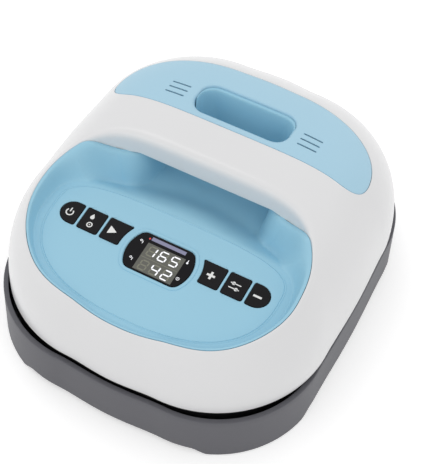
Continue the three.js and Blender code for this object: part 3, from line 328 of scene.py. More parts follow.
def offset_outline(outline, distance):
    """The outline moved outwards by a distance, or by one distance per point."""
    tangent = np.roll(outline, -1, 0) - np.roll(outline, 1, 0)
    tangent /= np.linalg.norm(tangent, axis=1, keepdims=True)
    normal = tangent[:, ::-1] * (1, -1)
    return outline + normal * np.reshape(distance, (-1, 1))


def inside(points, outline):
    """Whether each point lies inside a closed outline."""
    x, y = points[:, :1], points[:, 1:2]
    a, b = outline, np.roll(outline, -1, 0)
    crosses = (a[:, 1] > y) != (b[:, 1] > y)
    with np.errstate(divide="ignore", invalid="ignore"):
        at = (b[:, 0] - a[:, 0]) * (y - a[:, 1]) / (b[:, 1] - a[:, 1]) + a[:, 0]
    return (crosses & (x < at)).sum(1) % 2 == 1


def edge_distance(points, outline):
    """Distance of each point from a closed outline, worked out for some points at a time."""
    a, b = outline, np.roll(outline, -1, 0)
    run = b - a
    length = (run**2).sum(1)
    found = np.empty(len(points))
    for start in range(0, len(points), POINTS_AT_ONCE):
        part = points[start : start + POINTS_AT_ONCE, None, :]
        share = np.clip(((part - a) * run).sum(2) / length, 0, 1)
        place = a + share[..., None] * run
        found[start : start + POINTS_AT_ONCE] = np.linalg.norm(part - place, axis=2).min(1)
    return found


def arc(centre, radius, start, end, steps):
    """Points along an arc, both ends included."""
    angle = np.linspace(start, end, steps + 1)
    return np.column_stack([centre[0] + radius * np.cos(angle), centre[1] + radius * np.sin(angle)])


def quadratic_curve(start, corner, end, share):
    """Points of a curve that leaves its start and reaches its end in the direction of the corner."""
    return (1 - share) ** 2 * start + 2 * share * (1 - share) * corner + share**2 * end


def round_corners(outline, radius, steps=5):
    """The outline with each sharp corner turned into a short curve."""
    rounded = []
    count = len(outline)
    for i in range(count):
        before = outline[i - 1] - outline[i]
        after = outline[(i + 1) % count] - outline[i]
        before_length, after_length = np.linalg.norm(before), np.linalg.norm(after)
        turn = math.pi - math.acos(np.clip(before @ after / (before_length * after_length), -1, 1))
        if turn < SHARP_TURN:
            rounded.append(outline[i])
            continue
        start = outline[i] + before / before_length * radius
        end = outline[i] + after / after_length * radius
        for share in np.linspace(0, 1, steps + 1):
            rounded.append(quadratic_curve(start, outline[i], end, share))
    return np.array(rounded)


# The dome, as a height over the plan

shell_plan = rounded_outline(
    SHELL_HALF_X, SHELL_HALF_Y, SHELL_RADIUS, SIDE_BOW, END_BOW, corner=240, side=200
)
plan_angle = np.unwrap(np.arctan2(shell_plan[:, 1], shell_plan[:, 0]))
plan_reach = np.hypot(shell_plan[:, 0], shell_plan[:, 1])
plan_run = np.concatenate([[0], np.cumsum(np.hypot(*np.diff(shell_plan, axis=0).T))])


def plan_share(points):
    """How far out each point lies between the middle and the shell's outline."""
    angle = np.arctan2(points[:, 1], points[:, 0])
    reach = np.interp(angle, plan_angle, plan_reach, period=2 * math.pi)
    return np.hypot(points[:, 0], points[:, 1]) / reach


def plan_row(share, spacing):
    """Evenly spaced points all the way round, at one share of the shell's outline."""
    count = max(int(plan_run[-1] * share / spacing), LEAST_IN_ROW)
    angle = np.interp(np.arange(count) / count * plan_run[-1], plan_run, plan_angle)
    reach = share * np.interp(angle, plan_angle, plan_reach)
    return np.column_stack([reach * np.cos(angle), reach * np.sin(angle)])


# How far the surface runs from the middle to each share, counted in the outline's reach
dome_shares = np.sin(np.linspace(0, QUARTER, PROFILE_POINTS))
dome_rises = SHELL_CROWN / SHELL_HALF_Y * (1 - dome_shares**CROWN_POWER) ** (1 / SHOULDER_POWER)
dome_runs = np.concatenate([[0], np.cumsum(np.hypot(np.diff(dome_shares), np.diff(dome_rises)))])


def developed(points):
    """Plan points spread out as if the dome were rolled flat, so that steep parts keep their size."""
    share = np.clip(plan_share(points), NO_SHARE, 1)
    return points * (np.interp(share, dome_shares, dome_runs) / share)[:, None]


def dome_height(points):
    """Height of the dome over plan points: a flat crown that falls to the rear, on round shoulders."""
    share = np.clip(plan_share(points), 0, 1)
    crown = SHELL_CROWN - SHELL_REAR_DROP * points[:, 1] / SHELL_HALF_Y
    return SHELL_BOTTOM + crown * (1 - share**CROWN_POWER) ** (1 / SHOULDER_POWER)


def soft_minimum(value, limit, blend):
    """The smaller of two values, with a soft change where they meet."""
    low, high = np.minimum(value, limit), np.maximum(value, limit)
    return low - blend * np.log1p(np.exp((low - high) / blend))


def scoop_outline():
    """The scoop's edge: an oval that follows the shell's bow in front and the handle behind."""
    turn = np.abs(np.sin(outline_angles))
    front_power = lerp(SCOOP_SIDE_POWER, SCOOP_FRONT_POWER, turn**SCOOP_TURN_POWER)
    outline = oval_outline(
        SCOOP_CENTRE_Y, SCOOP_HALF_X, SCOOP_FRONT, SCOOP_REAR, front_power, SCOOP_REAR_POWER
    )
    from_bow = np.clip(np.abs(outline[:, 0]) / (SHELL_HALF_X - SIDE_BOW - SHELL_RADIUS), 0, 1)
    bow = END_BOW * (1 - from_bow**2) ** 2
    outline[:, 1] -= np.where(outline[:, 1] < SCOOP_CENTRE_Y, bow, 0)
    outline[:, 1] = soft_minimum(outline[:, 1], HANDLE_FRONT, SCOOP_BLEND)
    return outline


def hatch_outline():
    """The rear opening that the fingers go down through."""
    half_y = (HATCH_REAR - HANDLE_REAR) / 2
    outline = rounded_outline(HATCH_HALF_X, half_y, HATCH_RADIUS, corner=14, side=8)
    return outline + (0, HANDLE_REAR + half_y)


def handle_share(y, start, end):
    """0 along the front of the scoop, 1 along the handle."""
    return smoothstep((y - SCOOP_CENTRE_Y) / (HANDLE_FRONT - SCOOP_CENTRE_Y), start, end)


def hatch_share(y):
    """1 along the handle, 0 past the rear opening's front corners."""
    return 1 - smoothstep((y - HANDLE_REAR) / HATCH_RADIUS, 0, 1)


scoop_line = resampled(scoop_outline(), EDGE_SPACING)
hatch_line = resampled(hatch_outline(), FINE_SPACING)


def scoop_lip(y):
    return lerp(FRONT_LIP, HANDLE_LIP, handle_share(y, *LIP_SHARES))


def hatch_lip(y):
    return lerp(HATCH_LIP, HATCH_FRONT_LIP, hatch_share(y))


def cover_outline():
    """A half-moon with a straight front behind the handle."""
    angle = np.linspace(0, math.pi, COVER_POINTS)
    power = 2 / COVER_POWER
    x = COVER_HALF_X * np.sign(np.cos(angle)) * np.abs(np.cos(angle)) ** power
    rear = np.column_stack([x, COVER_CENTRE_Y + COVER_DEPTH_Y * np.sin(angle) ** power])
    rear = rear[rear[:, 1] > COVER_FRONT + COVER_RADIUS]
    outline = np.vstack([[(COVER_HALF_X, COVER_FRONT)], rear, [(-COVER_HALF_X, COVER_FRONT)]])
    return round_corners(outline, COVER_RADIUS, steps=14)


cover_line = resampled(cover_outline(), EDGE_SPACING)


def vent_outlines():
    """Three short slots on each side of the rear opening."""
    centres = [(side * (VENT_INNER_X + VENT_LENGTH / 2), y) for y in VENT_ROWS for side in (1, -1)]
    half = VENT_WIDTH / 2
    slot = rounded_outline(VENT_LENGTH / 2, half, half * VENT_ROUND_SHARE, corner=5, side=10)
    return [slot + centre for centre in centres]


# Mesh making


def new_object(name, vertices, faces, finish, smooth=True):
    """A mesh object from points in millimetres."""
    data = bpy.data.meshes.new(name)
    corners = [tuple(v) for v in np.asarray(vertices) * MM]
    data.from_pydata(corners, [], [tuple(int(i) for i in face) for face in faces])
    data.validate()
    data.update()
    data.materials.append(finish)
    piece = bpy.data.objects.new(name, data)
    bpy.context.scene.collection.objects.link(piece)
    if smooth:
        shade(piece)
    return piece


def shade(piece):
    """Smooth shading that keeps the sharp edges."""
    mesh = bmesh.new()
    mesh.from_mesh(piece.data)
    for face in mesh.faces:
        face.smooth = True
    for edge in mesh.edges:
        edge.smooth = len(edge.link_faces) != 2 or edge.calc_face_angle(0) < SHARP_ANGLE
    mesh.to_mesh(piece.data)
    mesh.free()


def weld(piece):
    """Points that lie on one another joined into one."""
    mesh = bmesh.new()
    mesh.from_mesh(piece.data)
    bmesh.ops.remove_doubles(mesh, verts=mesh.verts, dist=WELD_DISTANCE * MM)
    mesh.to_mesh(piece.data)
    mesh.free()
    shade(piece)


def triangulated(loops, others, flatten=None):
    """Triangles inside the first of some closed outlines and outside the rest, with other points.

    The triangles are drawn in the plan, or in what flatten() makes of it.
    """
    points = np.vstack([*loops, *others])
    drawn = points if flatten is None else flatten(points)
    edges, borders, start = [], [], 0
    for loop in loops:
        index = range(start, start + len(loop))
        edges += zip(index, [*index[1:], start])
        borders.append(drawn[index])
        start += len(loop)
    corners = [Vector(p) for p in drawn]
    made, _, triangles, sources, *_ = delaunay_2d_cdt(corners, edges, [], 0, SAME_POINT)
    made = np.array([tuple(v) for v in made])
    plan = np.array([points[source[0]] for source in sources])
    triangles = np.array([t for t in triangles if len(t) == 3])
    a, b, c = (made[triangles[:, k]] for k in range(3))
    area = (b[:, 0] - a[:, 0]) * (c[:, 1] - a[:, 1]) - (b[:, 1] - a[:, 1]) * (c[:, 0] - a[:, 0])
    triangles[area < 0] = triangles[area < 0][:, ::-1]
    middles = made[triangles].mean(1)
    kept = inside(middles, borders[0]) & (np.abs(area) > NO_AREA)
    for border in borders[1:]:
        kept &= ~inside(middles, border)
    return plan, triangles[kept]


def strip(first, second, count):
    """Faces between two closed rows of points that start at two indices."""
    places = [(i, (i + 1) % count) for i in range(count)]
    return [(first + i, first + after, second + after, second + i) for i, after in places]


def rings_mesh(rings, close_end=False):
    """Vertices and faces of a loft through rings of equal point count."""
    count = len(rings[0])
    last = (len(rings) - 1) * count
    faces = []
    for start in range(0, last, count):
        faces.extend(strip(start, start + count, count))
    if close_end:
        faces.append(tuple(range(last, last + count)))
    return np.vstack(rings), faces


def level(outline, z):
    """Plan points lifted to one height, or to one height per point."""
    return np.column_stack([outline, np.broadcast_to(z, len(outline))])


def rolled_lip(outline, lip, steps):
    """Rings over a rounded lip, from its edge to where it meets the dome."""
    rings = []
    for angle in np.linspace(0, QUARTER, steps + 1):
        flat = offset_outline(outline, lip * (1 - math.cos(angle) ** LIP_FULLNESS))
        rings.append(level(flat, dome_height(flat) - lip * (1 - math.sin(angle) ** LIP_FULLNESS)))
    return rings


def eased(points, edge, radius):
    """Height that a small rounded edge takes off near an outline."""
    fall = np.clip(1 - edge_distance(points, edge) / radius, 0, 1)
    return radius * (1 - np.sqrt(1 - fall**2))


class Shape:
    """Vertices and faces, gathered from rows of points."""

    def __init__(self):
        self.rows, self.faces, self.count = [], [], 0

    def add(self, points, faces):
        self.rows.append(points)
        self.faces.extend(tuple(int(i) + self.count for i in face) for face in faces)
        self.count += len(points)

    def wall(self, rows, outwards=True):
        """Quads through closed rows of points, one row after the other."""
        vertices, faces = rings_mesh(rows)
        self.add(vertices, faces if outwards else [f[::-1] for f in faces])

    def build(self, name, finish):
        piece = new_object(name, np.vstack(self.rows), self.faces, finish)
        weld(piece)
        return piece


# Materials

TINT_SCALE = 9
TINT_DETAIL = 4
GRAIN_DETAIL = 2
GRAIN_DEPTH = 0.2
ROUGHNESS_SHARES = (0.9, 1.12)


def linear(colour):
    """Linear colour of an sRGB colour from 0 to 255."""
    shares = [value / 255 for value in colour]
    return tuple(s / 12.92 if s <= 0.04045 else ((s + 0.055) / 1.055) ** 2.4 for s in shares)


def set_inputs(node, values):
    """Values for some inputs of a shader node, by name."""
    for name, value in values.items():
        node.inputs[name].default_value = value


def scaled(nodes, links, value, low, high):
    """A value from 0 to 1 spread over a range."""
    spread = nodes.new("ShaderNodeMapRange")
    set_inputs(spread, {"To Min": low, "To Max": high})
    links.new(value, spread.inputs["Value"])
    return spread.outputs["Result"]


def noise(nodes, links, place, scale, detail):
    """A value of fine noise over an object."""
    texture = nodes.new("ShaderNodeTexNoise")
    set_inputs(texture, {"Scale": scale, "Detail": detail})
    links.new(place, texture.inputs["Vector"])
    return texture.outputs["Fac"]


def material(name, colour, roughness, **settings):
    """A principled material with fine grain in its colour, roughness and surface."""
    colour = linear(colour)
    made = bpy.data.materials.new(name)
    made.use_nodes = True
    nodes, links = made.node_tree.nodes, made.node_tree.links
    principled = nodes["Principled BSDF"]
    surface = {
        "Roughness": roughness,
        "Metallic": settings.get("metallic", 0),
        "Coat Weight": settings.get("coat", 0),
        "Coat Roughness": settings.get("coat_roughness", 0.05),
        "Specular IOR Level": settings.get("specular", 0.5),
    }
    set_inputs(principled, surface)
    place = nodes.new("ShaderNodeTexCoord").outputs["Object"]
    mix = nodes.new("ShaderNodeMix")
    mix.data_type = "RGBA"
    spread = settings.get("tint", 0.02)
    darker, lighter = [c * (1 - spread) for c in colour], [min(c * (1 + spread), 1) for c in colour]
    set_inputs(mix, {"A": (*darker, 1), "B": (*lighter, 1)})
    links.new(noise(nodes, links, place, TINT_SCALE, TINT_DETAIL), mix.inputs["Factor"])
    links.new(mix.outputs["Result"], principled.inputs["Base Color"])
    grain = noise(nodes, links, place, settings.get("grain_scale", 900), GRAIN_DETAIL)
    smoothest, roughest = (roughness * share for share in ROUGHNESS_SHARES)
    ranged = scaled(nodes, links, grain, smoothest, min(roughest, 1))
    links.new(ranged, principled.inputs["Roughness"])
    bump = nodes.new("ShaderNodeBump")
    set_inputs(bump, {"Strength": settings.get("grain", 0.06), "Distance": GRAIN_DEPTH * MM})
    links.new(grain, bump.inputs["Height"])
    links.new(bump.outputs["Normal"], principled.inputs["Normal"])
    if "glow" in settings:
        set_inputs(principled, {"Emission Color": (*colour, 1), "Emission Strength": settings["glow"]})
    return made


white_gloss = material(
    "white_gloss", (236, 236, 237), 0.3, coat=0.3, coat_roughness=0.08, specular=0.3, grain=0.02
)
sky_plastic = material("sky_plastic", (159, 209, 231), 0.42, specular=0.35, grain=0.1, grain_scale=1400)
cover_plastic = material("cover_plastic", (176, 216, 236), 0.48, grain=0.12, grain_scale=1400)
tray_plastic = material("tray_plastic", (89, 89, 95), 0.5, grain=0.25, grain_scale=1200, tint=0.04)
black_plastic = material("black_plastic", (22, 22, 24), 0.45, grain=0.2)
key_plastic = material("key_plastic", (24, 23, 25), 0.5, specular=0.12, grain=0.15, grain_scale=1600)
lens_gloss = material("lens_gloss", (20, 19, 22), 0.35, specular=0.08, grain=0)
foot_rubber = material("foot_rubber", (42, 42, 44), 0.8, grain=0.5)
strip_silicone = material("strip_silicone", (150, 150, 147), 0.6, grain=0.2)
felt_fibre = material("felt_fibre", (216, 211, 198), 0.95, grain=0.9, grain_scale=500, tint=0.08)
plate_metal = material("plate_metal", (186, 188, 190), 0.34, metallic=1.0, grain=0.2)
screw_steel = material("screw_steel", (176, 176, 178), 0.3, metallic=1.0)
board_green = material("board_green", (30, 88, 58), 0.45)
dark_part = material("dark_part", (48, 52, 58), 0.5)
symbol_white = material("symbol_white", (240, 240, 238), 0.5, grain=0)
window_olive = material("window_olive", (88, 88, 80), 0.4, grain=0)
bar_lavender = material("bar_lavender", (138, 138, 168), 0.4, grain=0)
digit_unlit = material("digit_unlit", (122, 122, 106), 0.4, grain=0)
digit_lit = material("digit_lit", (245, 246, 250), 0.4, grain=0, glow=0.35)
lamp_red = material("lamp_red", (200, 40, 40), 0.3, grain=0, glow=0.5)

# White shell


def dome_points(spacing):
    """Points over the whole dome, evenly spaced on its surface."""
    rows = int(dome_runs[-1] * SHELL_HALF_Y / spacing)
    runs = np.arange(1, rows) / rows * dome_runs[-1]
    return np.vstack([plan_row(share, spacing) for share in np.interp(runs, dome_runs, dome_shares)])


def clear_of(points, outline, distance):
    """The points that lie outside an outline and further from it than a distance."""
    return points[(edge_distance(points, outline) > distance) & ~inside(points, outline)]


def build_shell():
    """The white dome, with the scoop's rolled lip and its collar, and the hole for the rear cover."""
    foot = plan_row(1, FOOT_SPACING)
    lips = rolled_lip(scoop_line, scoop_lip(scoop_line[:, 1]), steps=14)
    lip_edge = lips[-1][:, :2]
    hole = resampled(offset_outline(cover_line, COVER_GAP), FINE_SPACING)
    rounding, half_rounding = offset_outline(hole, COVER_EDGE), offset_outline(hole, COVER_EDGE / 2)
    body = clear_of(dome_points(SHELL_SPACING), lip_edge, LIP_CLEARANCE)
    body = clear_of(body, rounding, HOLE_CLEARANCE)
    plan, triangles = triangulated([foot, lip_edge, hole], [rounding, half_rounding, body], developed)
    shape = Shape()
    shape.add(level(plan, dome_height(plan) - eased(plan, hole, COVER_EDGE)), triangles)
    shape.wall(lips, outwards=False)
    edge = lips[0]
    y = scoop_line[:, 1]
    raised = smoothstep(y, HANDLE_FRONT - COLLAR_RISE_START, HANDLE_FRONT - COLLAR_RISE_END)
    front, rear = dome_height(scoop_line) - COLLAR_DEPTH, lerp(HANDLE_UNDERSIDE, COLLAR_REAR, raised)
    bottom = lerp(front, rear, handle_share(y, *RIM_SHARES))
    shape.wall([edge, level(scoop_line, np.minimum(bottom, edge[:, 2] - LEAST_COLLAR))])
    top = dome_height(hole) - COVER_EDGE
    shape.wall([level(hole, top), level(hole, top - SHELL_WALL)])
    shape.wall([level(foot, SHELL_BOTTOM), level(offset_outline(foot, -SHELL_WALL), SHELL_BOTTOM)])
    shell = shape.build("white_shell", white_gloss)
    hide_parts("upper_housing")
    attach(shell, "press")


build_shell()

# Rear cover


def build_cover():
    """The blue cover behind the handle, with the rear opening's rolled lip and six vent slots."""
    border = resampled(cover_line, FINE_SPACING)
    vents = vent_outlines()
    lips = rolled_lip(hatch_line, hatch_lip(hatch_line[:, 1]), steps=12)
    lip_edge = lips[-1][:, :2]
    roundings = [offset_outline(border, -COVER_EDGE * share) for share in (0.5, 1)]
    vent_rims = [offset_outline(vent, VENT_EDGE) for vent in vents]
    body = clear_of(dome_points(COVER_SPACING), lip_edge, HOLE_CLEARANCE)
    body = body[inside(body, border) & (edge_distance(body, border) > BORDER_CLEARANCE)]
    for vent in vents:
        body = clear_of(body, vent, VENT_CLEARANCE)
    others = [*roundings, *vent_rims, body]
    plan, triangles = triangulated([border, lip_edge, *vents], others, developed)
    shape = Shape()
    shape.add(level(plan, dome_height(plan) - eased(plan, border, COVER_EDGE)), triangles)
    shape.wall(lips, outwards=False)
    straight = smoothstep((hatch_line[:, 1] - HANDLE_REAR) / HATCH_RADIUS, HATCH_COLLAR_SHARE, 1)
    bottom = lerp(COLLAR_REAR, dome_height(hatch_line) - HATCH_COLLAR, straight)
    shape.wall([lips[0], level(hatch_line, bottom)])
    top = dome_height(border) - COVER_EDGE
    shape.wall([level(border, top - COVER_DEPTH), level(border, top)])
    for vent in vents:
        top = dome_height(vent)
        shape.wall([level(vent, top), level(vent, top - COVER_DEPTH)])
    cover = shape.build("rear_cover_skin", cover_plastic)
    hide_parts("rear_cover")
    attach(cover, "press")


build_cover()

# Control panel


def platform_height(y):
    return DATUM_Z + SLOPE * (y - DATUM_Y)


def softened(line, corner, reach):
    """The line with one corner replaced by a curve that starts and ends a given way from it."""
    run = np.concatenate([[0], np.cumsum(np.linalg.norm(np.diff(line, axis=0), axis=1))])
    before, after = np.searchsorted(run, (run[corner] - reach, run[corner] + reach))
    share = np.linspace(0, 1, after - before + 1)[:, None]
    curve = quadratic_curve(line[before], line[corner], line[after], share)
    return np.vstack([line[:before], curve, line[after + 1 :]])


def panel_rim():
    """Points of the blue moulding's rim, counter-clockwise from the right side.

    It follows the scoop, turns in below the handle on a quarter oval each side, and goes round
    the rear opening.
    """
    line = offset_outline(resampled(scoop_outline(), RIM_SPACING), -SEAT)
    line = line[np.argsort(np.arctan2(line[:, 1] - PLATFORM_CENTRE_Y, line[:, 0]) % (2 * math.pi))]
    ceiling = HANDLE_UNDERSIDE - SEAT
    came_down = handle_share(line[:, 1], *RIM_SHARES)
    line = level(line, lerp(dome_height(line) - RIM_SINK, ceiling, came_down))
    under = np.flatnonzero(came_down >= 1)
    right, left = line[: under[0] + 1], line[under[-1] :]
    hatch_half = HATCH_HALF_X - SEAT
    turn = quarter_turn(steps=60)
    start = right[-1]
    x = lerp(hatch_half, start[0], np.cos(turn))
    y = lerp(start[1], HANDLE_REAR - TUNNEL_REAR_INSET, np.sin(turn))
    side = level(np.column_stack([x, y]), ceiling)
    straight = HANDLE_REAR + HATCH_RADIUS
    pocket = offset_outline(hatch_line, -SEAT)
    pocket = pocket[pocket[:, 1] > straight - SEAT]
    pocket = pocket[np.argsort(np.arctan2(pocket[:, 1] - HANDLE_REAR, pocket[:, 0]))]
    pocket = level(pocket, dome_height(pocket) - COVER_DEPTH - 2 * SEAT)
    foot = np.array([[hatch_half - SEAT, straight - HATCH_LIP, ceiling]])
    mirror = np.array([-1, 1, 1])
    right_half = softened(np.vstack([right, side]), len(right) - 1, NOSE_REACH)
    left_half = softened(np.vstack([(side * mirror)[::-1], left]), len(side), NOSE_REACH)
    return np.vstack([right_half, foot, pocket, foot * mirror, left_half])


def ray_reach(outline, middle, directions):
    """How far each ray from a middle point runs before it leaves an outline."""
    a = outline - middle
    b = np.roll(a, -1, 0)
    cross = a[:, 0] * b[:, 1] - a[:, 1] * b[:, 0]
    dx, dy = directions[:, :1], directions[:, 1:]
    with np.errstate(divide="ignore", invalid="ignore"):
        share_a = (dx * b[:, 1] - dy * b[:, 0]) / cross
        share_b = (a[:, 0] * dy - a[:, 1] * dx) / cross
        reach = 1 / (share_a + share_b)
    meets = (share_a >= -END_SLACK) & (share_b >= -END_SLACK) & np.isfinite(reach) & (reach > 0)
    reach[~meets] = np.inf
    return reach.min(1)


def platform_edge():
    """The line in plan where the platform ends and the scoop's wall starts."""
    front, rear = PLATFORM_CENTRE_Y - PLATFORM_FRONT_Y, PLATFORM_REAR_Y - PLATFORM_CENTRE_Y
    return oval_outline(
        PLATFORM_CENTRE_Y, PLATFORM_HALF_X, front, rear, PLATFORM_FRONT_POWER, PLATFORM_REAR_POWER
    )


def display_outline(margin=0.0):
    """A disc with a flat top and bottom and round corners, in plan on the platform."""
    lift = DISPLAY_HALF_Y - DISPLAY_CORNER
    run = math.sqrt((DISPLAY_RADIUS - DISPLAY_CORNER) ** 2 - lift**2)
    turn = math.atan2(lift, run)
    outline = []
    for start in (0, math.pi):
        flip = math.cos(start)
        for sign, low, high in ((-1, start - QUARTER, start - turn), (1, start + turn, start + QUARTER)):
            centre = (flip * run, sign * flip * lift)
            corner = arc(centre, DISPLAY_CORNER, low, high, steps=12)
            if sign > 0:
                side = arc((0, 0), DISPLAY_RADIUS, start - turn, start + turn, steps=24)
                outline.append(side[1:-1])
            outline.append(corner)
    return offset_outline(resampled(np.vstack(outline), DISPLAY_SPACING), margin)


def key_outline(side, place, margin=0.0):
    """One key's opening, about the key row's own middle line."""
    low, high = -KEY_DEPTH / 2, KEY_DEPTH / 2
    if place == "inner":
        y = np.linspace(high, low, 7)
        offset = KEY_Y - DISPLAY_Y
        bow = np.sqrt(KEY_REACH**2 - (y + offset) ** 2)
        points = np.vstack([[(KEY_INNER, low), (KEY_INNER, high)], np.column_stack([bow, y])])
    elif place == "middle":
        left = KEY_INNER + KEY_GAP
        points = np.array([(left, low), (KEY_MIDDLE, low), (KEY_MIDDLE, high), (left, high)])
    else:
        angle = np.linspace(-QUARTER, QUARTER, 24)
        x = KEY_OUTER - KEY_END_RADIUS * (1 - np.cos(angle))
        left = KEY_MIDDLE + KEY_GAP
        points = np.vstack([np.column_stack([x, high * np.sin(angle)]), [(left, high), (left, low)]])
    points = offset_outline(round_corners(points, KEY_CORNER), margin)
    return points[::-1] * (-1, 1) if side < 0 else points


# Side and place in the row of each key
KEYS = {
    "key_power": (-1, "outer"),
    "key_mode": (-1, "middle"),
    "key_start": (-1, "inner"),
    "key_plus": (1, "inner"),
    "key_set": (1, "middle"),
    "key_minus": (1, "outer"),
}


def on_platform(outline, centre_y, lift=0.0):
    """Plan outline about a place on the platform, laid on its slope and lifted off it."""
    y_along = (centre_y - DATUM_Y) / math.cos(TILT) + outline[:, 1]
    y = DATUM_Y + y_along * math.cos(TILT) - lift * math.sin(TILT)
    z = DATUM_Z + y_along * math.sin(TILT) + lift * math.cos(TILT)
    return np.column_stack([outline[:, 0], y, z])


def bowl_rings():
    """Rings of the blue moulding, from the platform's edge out to the rim and down behind it."""
    middle = np.array([0, PLATFORM_CENTRE_Y])
    rim = panel_rim()
    to_rim = rim[:, :2] - middle
    far = np.hypot(to_rim[:, 0], to_rim[:, 1])
    directions = to_rim / far[:, None]
    near = ray_reach(platform_edge(), middle, directions)
    length = far - near
    under_handle = smoothstep(np.abs(rim[:, 0]) - HATCH_HALF_X, 0, TUNNEL_SIDE_RUN)
    rearward = smoothstep(rim[:, 1] - PLATFORM_CENTRE_Y, WALL_CHANGE_START, WALL_CHANGE_END)
    room = (length - STEP_RUN) * lerp(*WALL_SHARES, rearward)
    wall = np.minimum(lerp(WALL_RUN, TUNNEL_WALL_RUN, under_handle), room)
    top = np.minimum(RIM_RUN, wall * RIM_SHARE)
    distances = [np.full(len(rim), row) for row in STEP_ROWS]
    distances += [lerp(STEP_ROWS[-1], length - wall, share) for share in FLOOR_SHARES]
    distances += [length - lerp(wall, 0, share) for share in RISE_SHARES]
    rings = []
    for distance in distances:
        flat = middle + directions * (near + distance)[:, None]
        stepped = platform_height(flat[:, 1]) - STEP * smoothstep(distance, 0, STEP_RUN)
        stepped -= GROOVE_DEPTH * np.exp(-(((distance - GROOVE_PLACE) / GROOVE_WIDTH) ** 2))
        stepped += BEAD_HEIGHT * np.exp(-(((distance - BEAD_PLACE) / BEAD_WIDTH) ** 2))
        dip = smoothstep(length, SHORT_RUN, LONG_RUN) * smoothstep(distance, STEP_RUN, DIP_RUN)
        sunk = lerp(stepped, TUNNEL_FLOOR, dip)
        share = 1 - smoothstep(length - distance, top, wall)
        rings.append(level(flat, lerp(sunk, rim[:, 2], share)))
    rings.append(rings[-1] - (0, 0, RIM_SKIRT))
    return rings


def platform_grid(edge, holes):
    """Evenly spaced points over the platform, clear of its edge and its holes."""
    across = np.arange(-PLATFORM_HALF_X, PLATFORM_HALF_X + 1, GRID_SPACING)
    along = np.arange(PLATFORM_FRONT_Y + GRID_FRONT_INSET, PLATFORM_REAR_Y, GRID_SPACING)
    grid_x, grid_y = np.meshgrid(across, along)
    grid = np.column_stack([grid_x.ravel(), grid_y.ravel()])
    grid = grid[inside(grid, offset_outline(edge, -GRID_CLEARANCE))]
    for hole in holes:
        grid = clear_of(grid, hole, GRID_CLEARANCE)
    return grid


def build_panel():
    """The blue scoop moulding, with the platform's openings for the display and the keys."""
    rings = bowl_rings()
    shape = Shape()
    shape.wall(rings, outwards=False)
    edge = rings[0][:, :2]
    holes = [on_platform(display_outline(), DISPLAY_Y)]
    holes += [on_platform(key_outline(*key), KEY_Y) for key in KEYS.values()]
    soft = [on_platform(display_outline(HOLE_EDGE), DISPLAY_Y)]
    margins = [HOLE_EDGE * share for share in HOLE_EDGE_SHARES]
    for key in KEYS.values():
        soft += [on_platform(key_outline(*key, margin), KEY_Y) for margin in margins]
    openings, rims = ([line[:, :2] for line in lines] for lines in (holes, soft))
    plan, triangles = triangulated([edge, *openings], [*rims, platform_grid(edge, openings)])
    height = platform_height(plan[:, 1])
    for opening in openings:
        height -= eased(plan, opening, HOLE_EDGE)
    shape.add(level(plan, height), triangles)
    through = PANEL_THICKNESS * np.array([0, math.sin(TILT), -math.cos(TILT)])
    for hole in holes:
        shape.wall([hole - (0, 0, HOLE_EDGE), hole + through], outwards=False)
    panel = shape.build("control_scoop", sky_plastic)
    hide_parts("control_panel")
    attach(panel, "press")


def build_ring():
    """The thin raised ring round the display."""
    rings = [on_platform(display_outline(RING_GAP + run), DISPLAY_Y, lift) for run, lift in RING_PROFILE]
    vertices, faces = rings_mesh(rings)
    ring = new_object("display_ring", vertices, faces, sky_plastic)
    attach(ring, "press")


build_panel()
build_ring()

# Keys, with a white sign printed on each

PRINT = 0.03
SIGN_DROP = -0.8
FULL_TURN = 2 * math.pi - 0.02
ROUND_START = -1.25 * math.pi
ROUND_END = 0.25 * math.pi
ARC_STEP = 0.15


def build_keys():
    """Six push keys with softly rounded edges."""
    for name, (side, place) in KEYS.items():
        profile = [(-KEY_CLEARANCE, -KEY_SKIRT), (-KEY_CLEARANCE, KEY_PROUD - KEY_EDGE)]
        for angle in quarter_turn(steps=5):
            run, rise = KEY_EDGE * (1 - math.cos(angle)), KEY_EDGE * math.sin(angle)
            profile.append((-KEY_CLEARANCE - run, KEY_PROUD - KEY_EDGE + rise))
        profile.append((profile[-1][0] - KEY_FACE_INSET, KEY_PROUD))
        rings = [on_platform(key_outline(side, place, run), KEY_Y, lift) for run, lift in profile]
        vertices, faces = rings_mesh(rings, close_end=True)
        cap = new_object(name + "_cap", vertices, faces, key_plastic)
        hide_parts(name)
        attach(cap, name)


def bar(x, y, width, height):
    """An upright rectangle about a middle point."""
    return np.array([(-width, -height), (width, -height), (width, height), (-width, height)]) / 2 + (x, y)


def band(x, y, radius, width, start, end):
    """Part of a ring, as one closed outline."""
    steps = int((end - start) / ARC_STEP)
    outer = arc((x, y), radius + width / 2, start, end, steps)
    inner = arc((x, y), radius - width / 2, end, start, steps)
    return np.vstack([outer, inner])


def drop(x, y, radius, height):
    """A drop that stands on its round end."""
    round_end = arc((0, 0), radius, ROUND_START, ROUND_END, steps=18)
    return np.vstack([round_end, [(0, height)]]) + (x, y)


def cross(x, y, reach, half):
    """A plus sign with four equal arms."""
    arm = np.array([(reach, -half), (reach, half), (half, half)])
    quarter_turned = arm[:, ::-1] * (-1, 1)
    return np.vstack([arm, quarter_turned, -arm, -quarter_turned]) + (x, y)


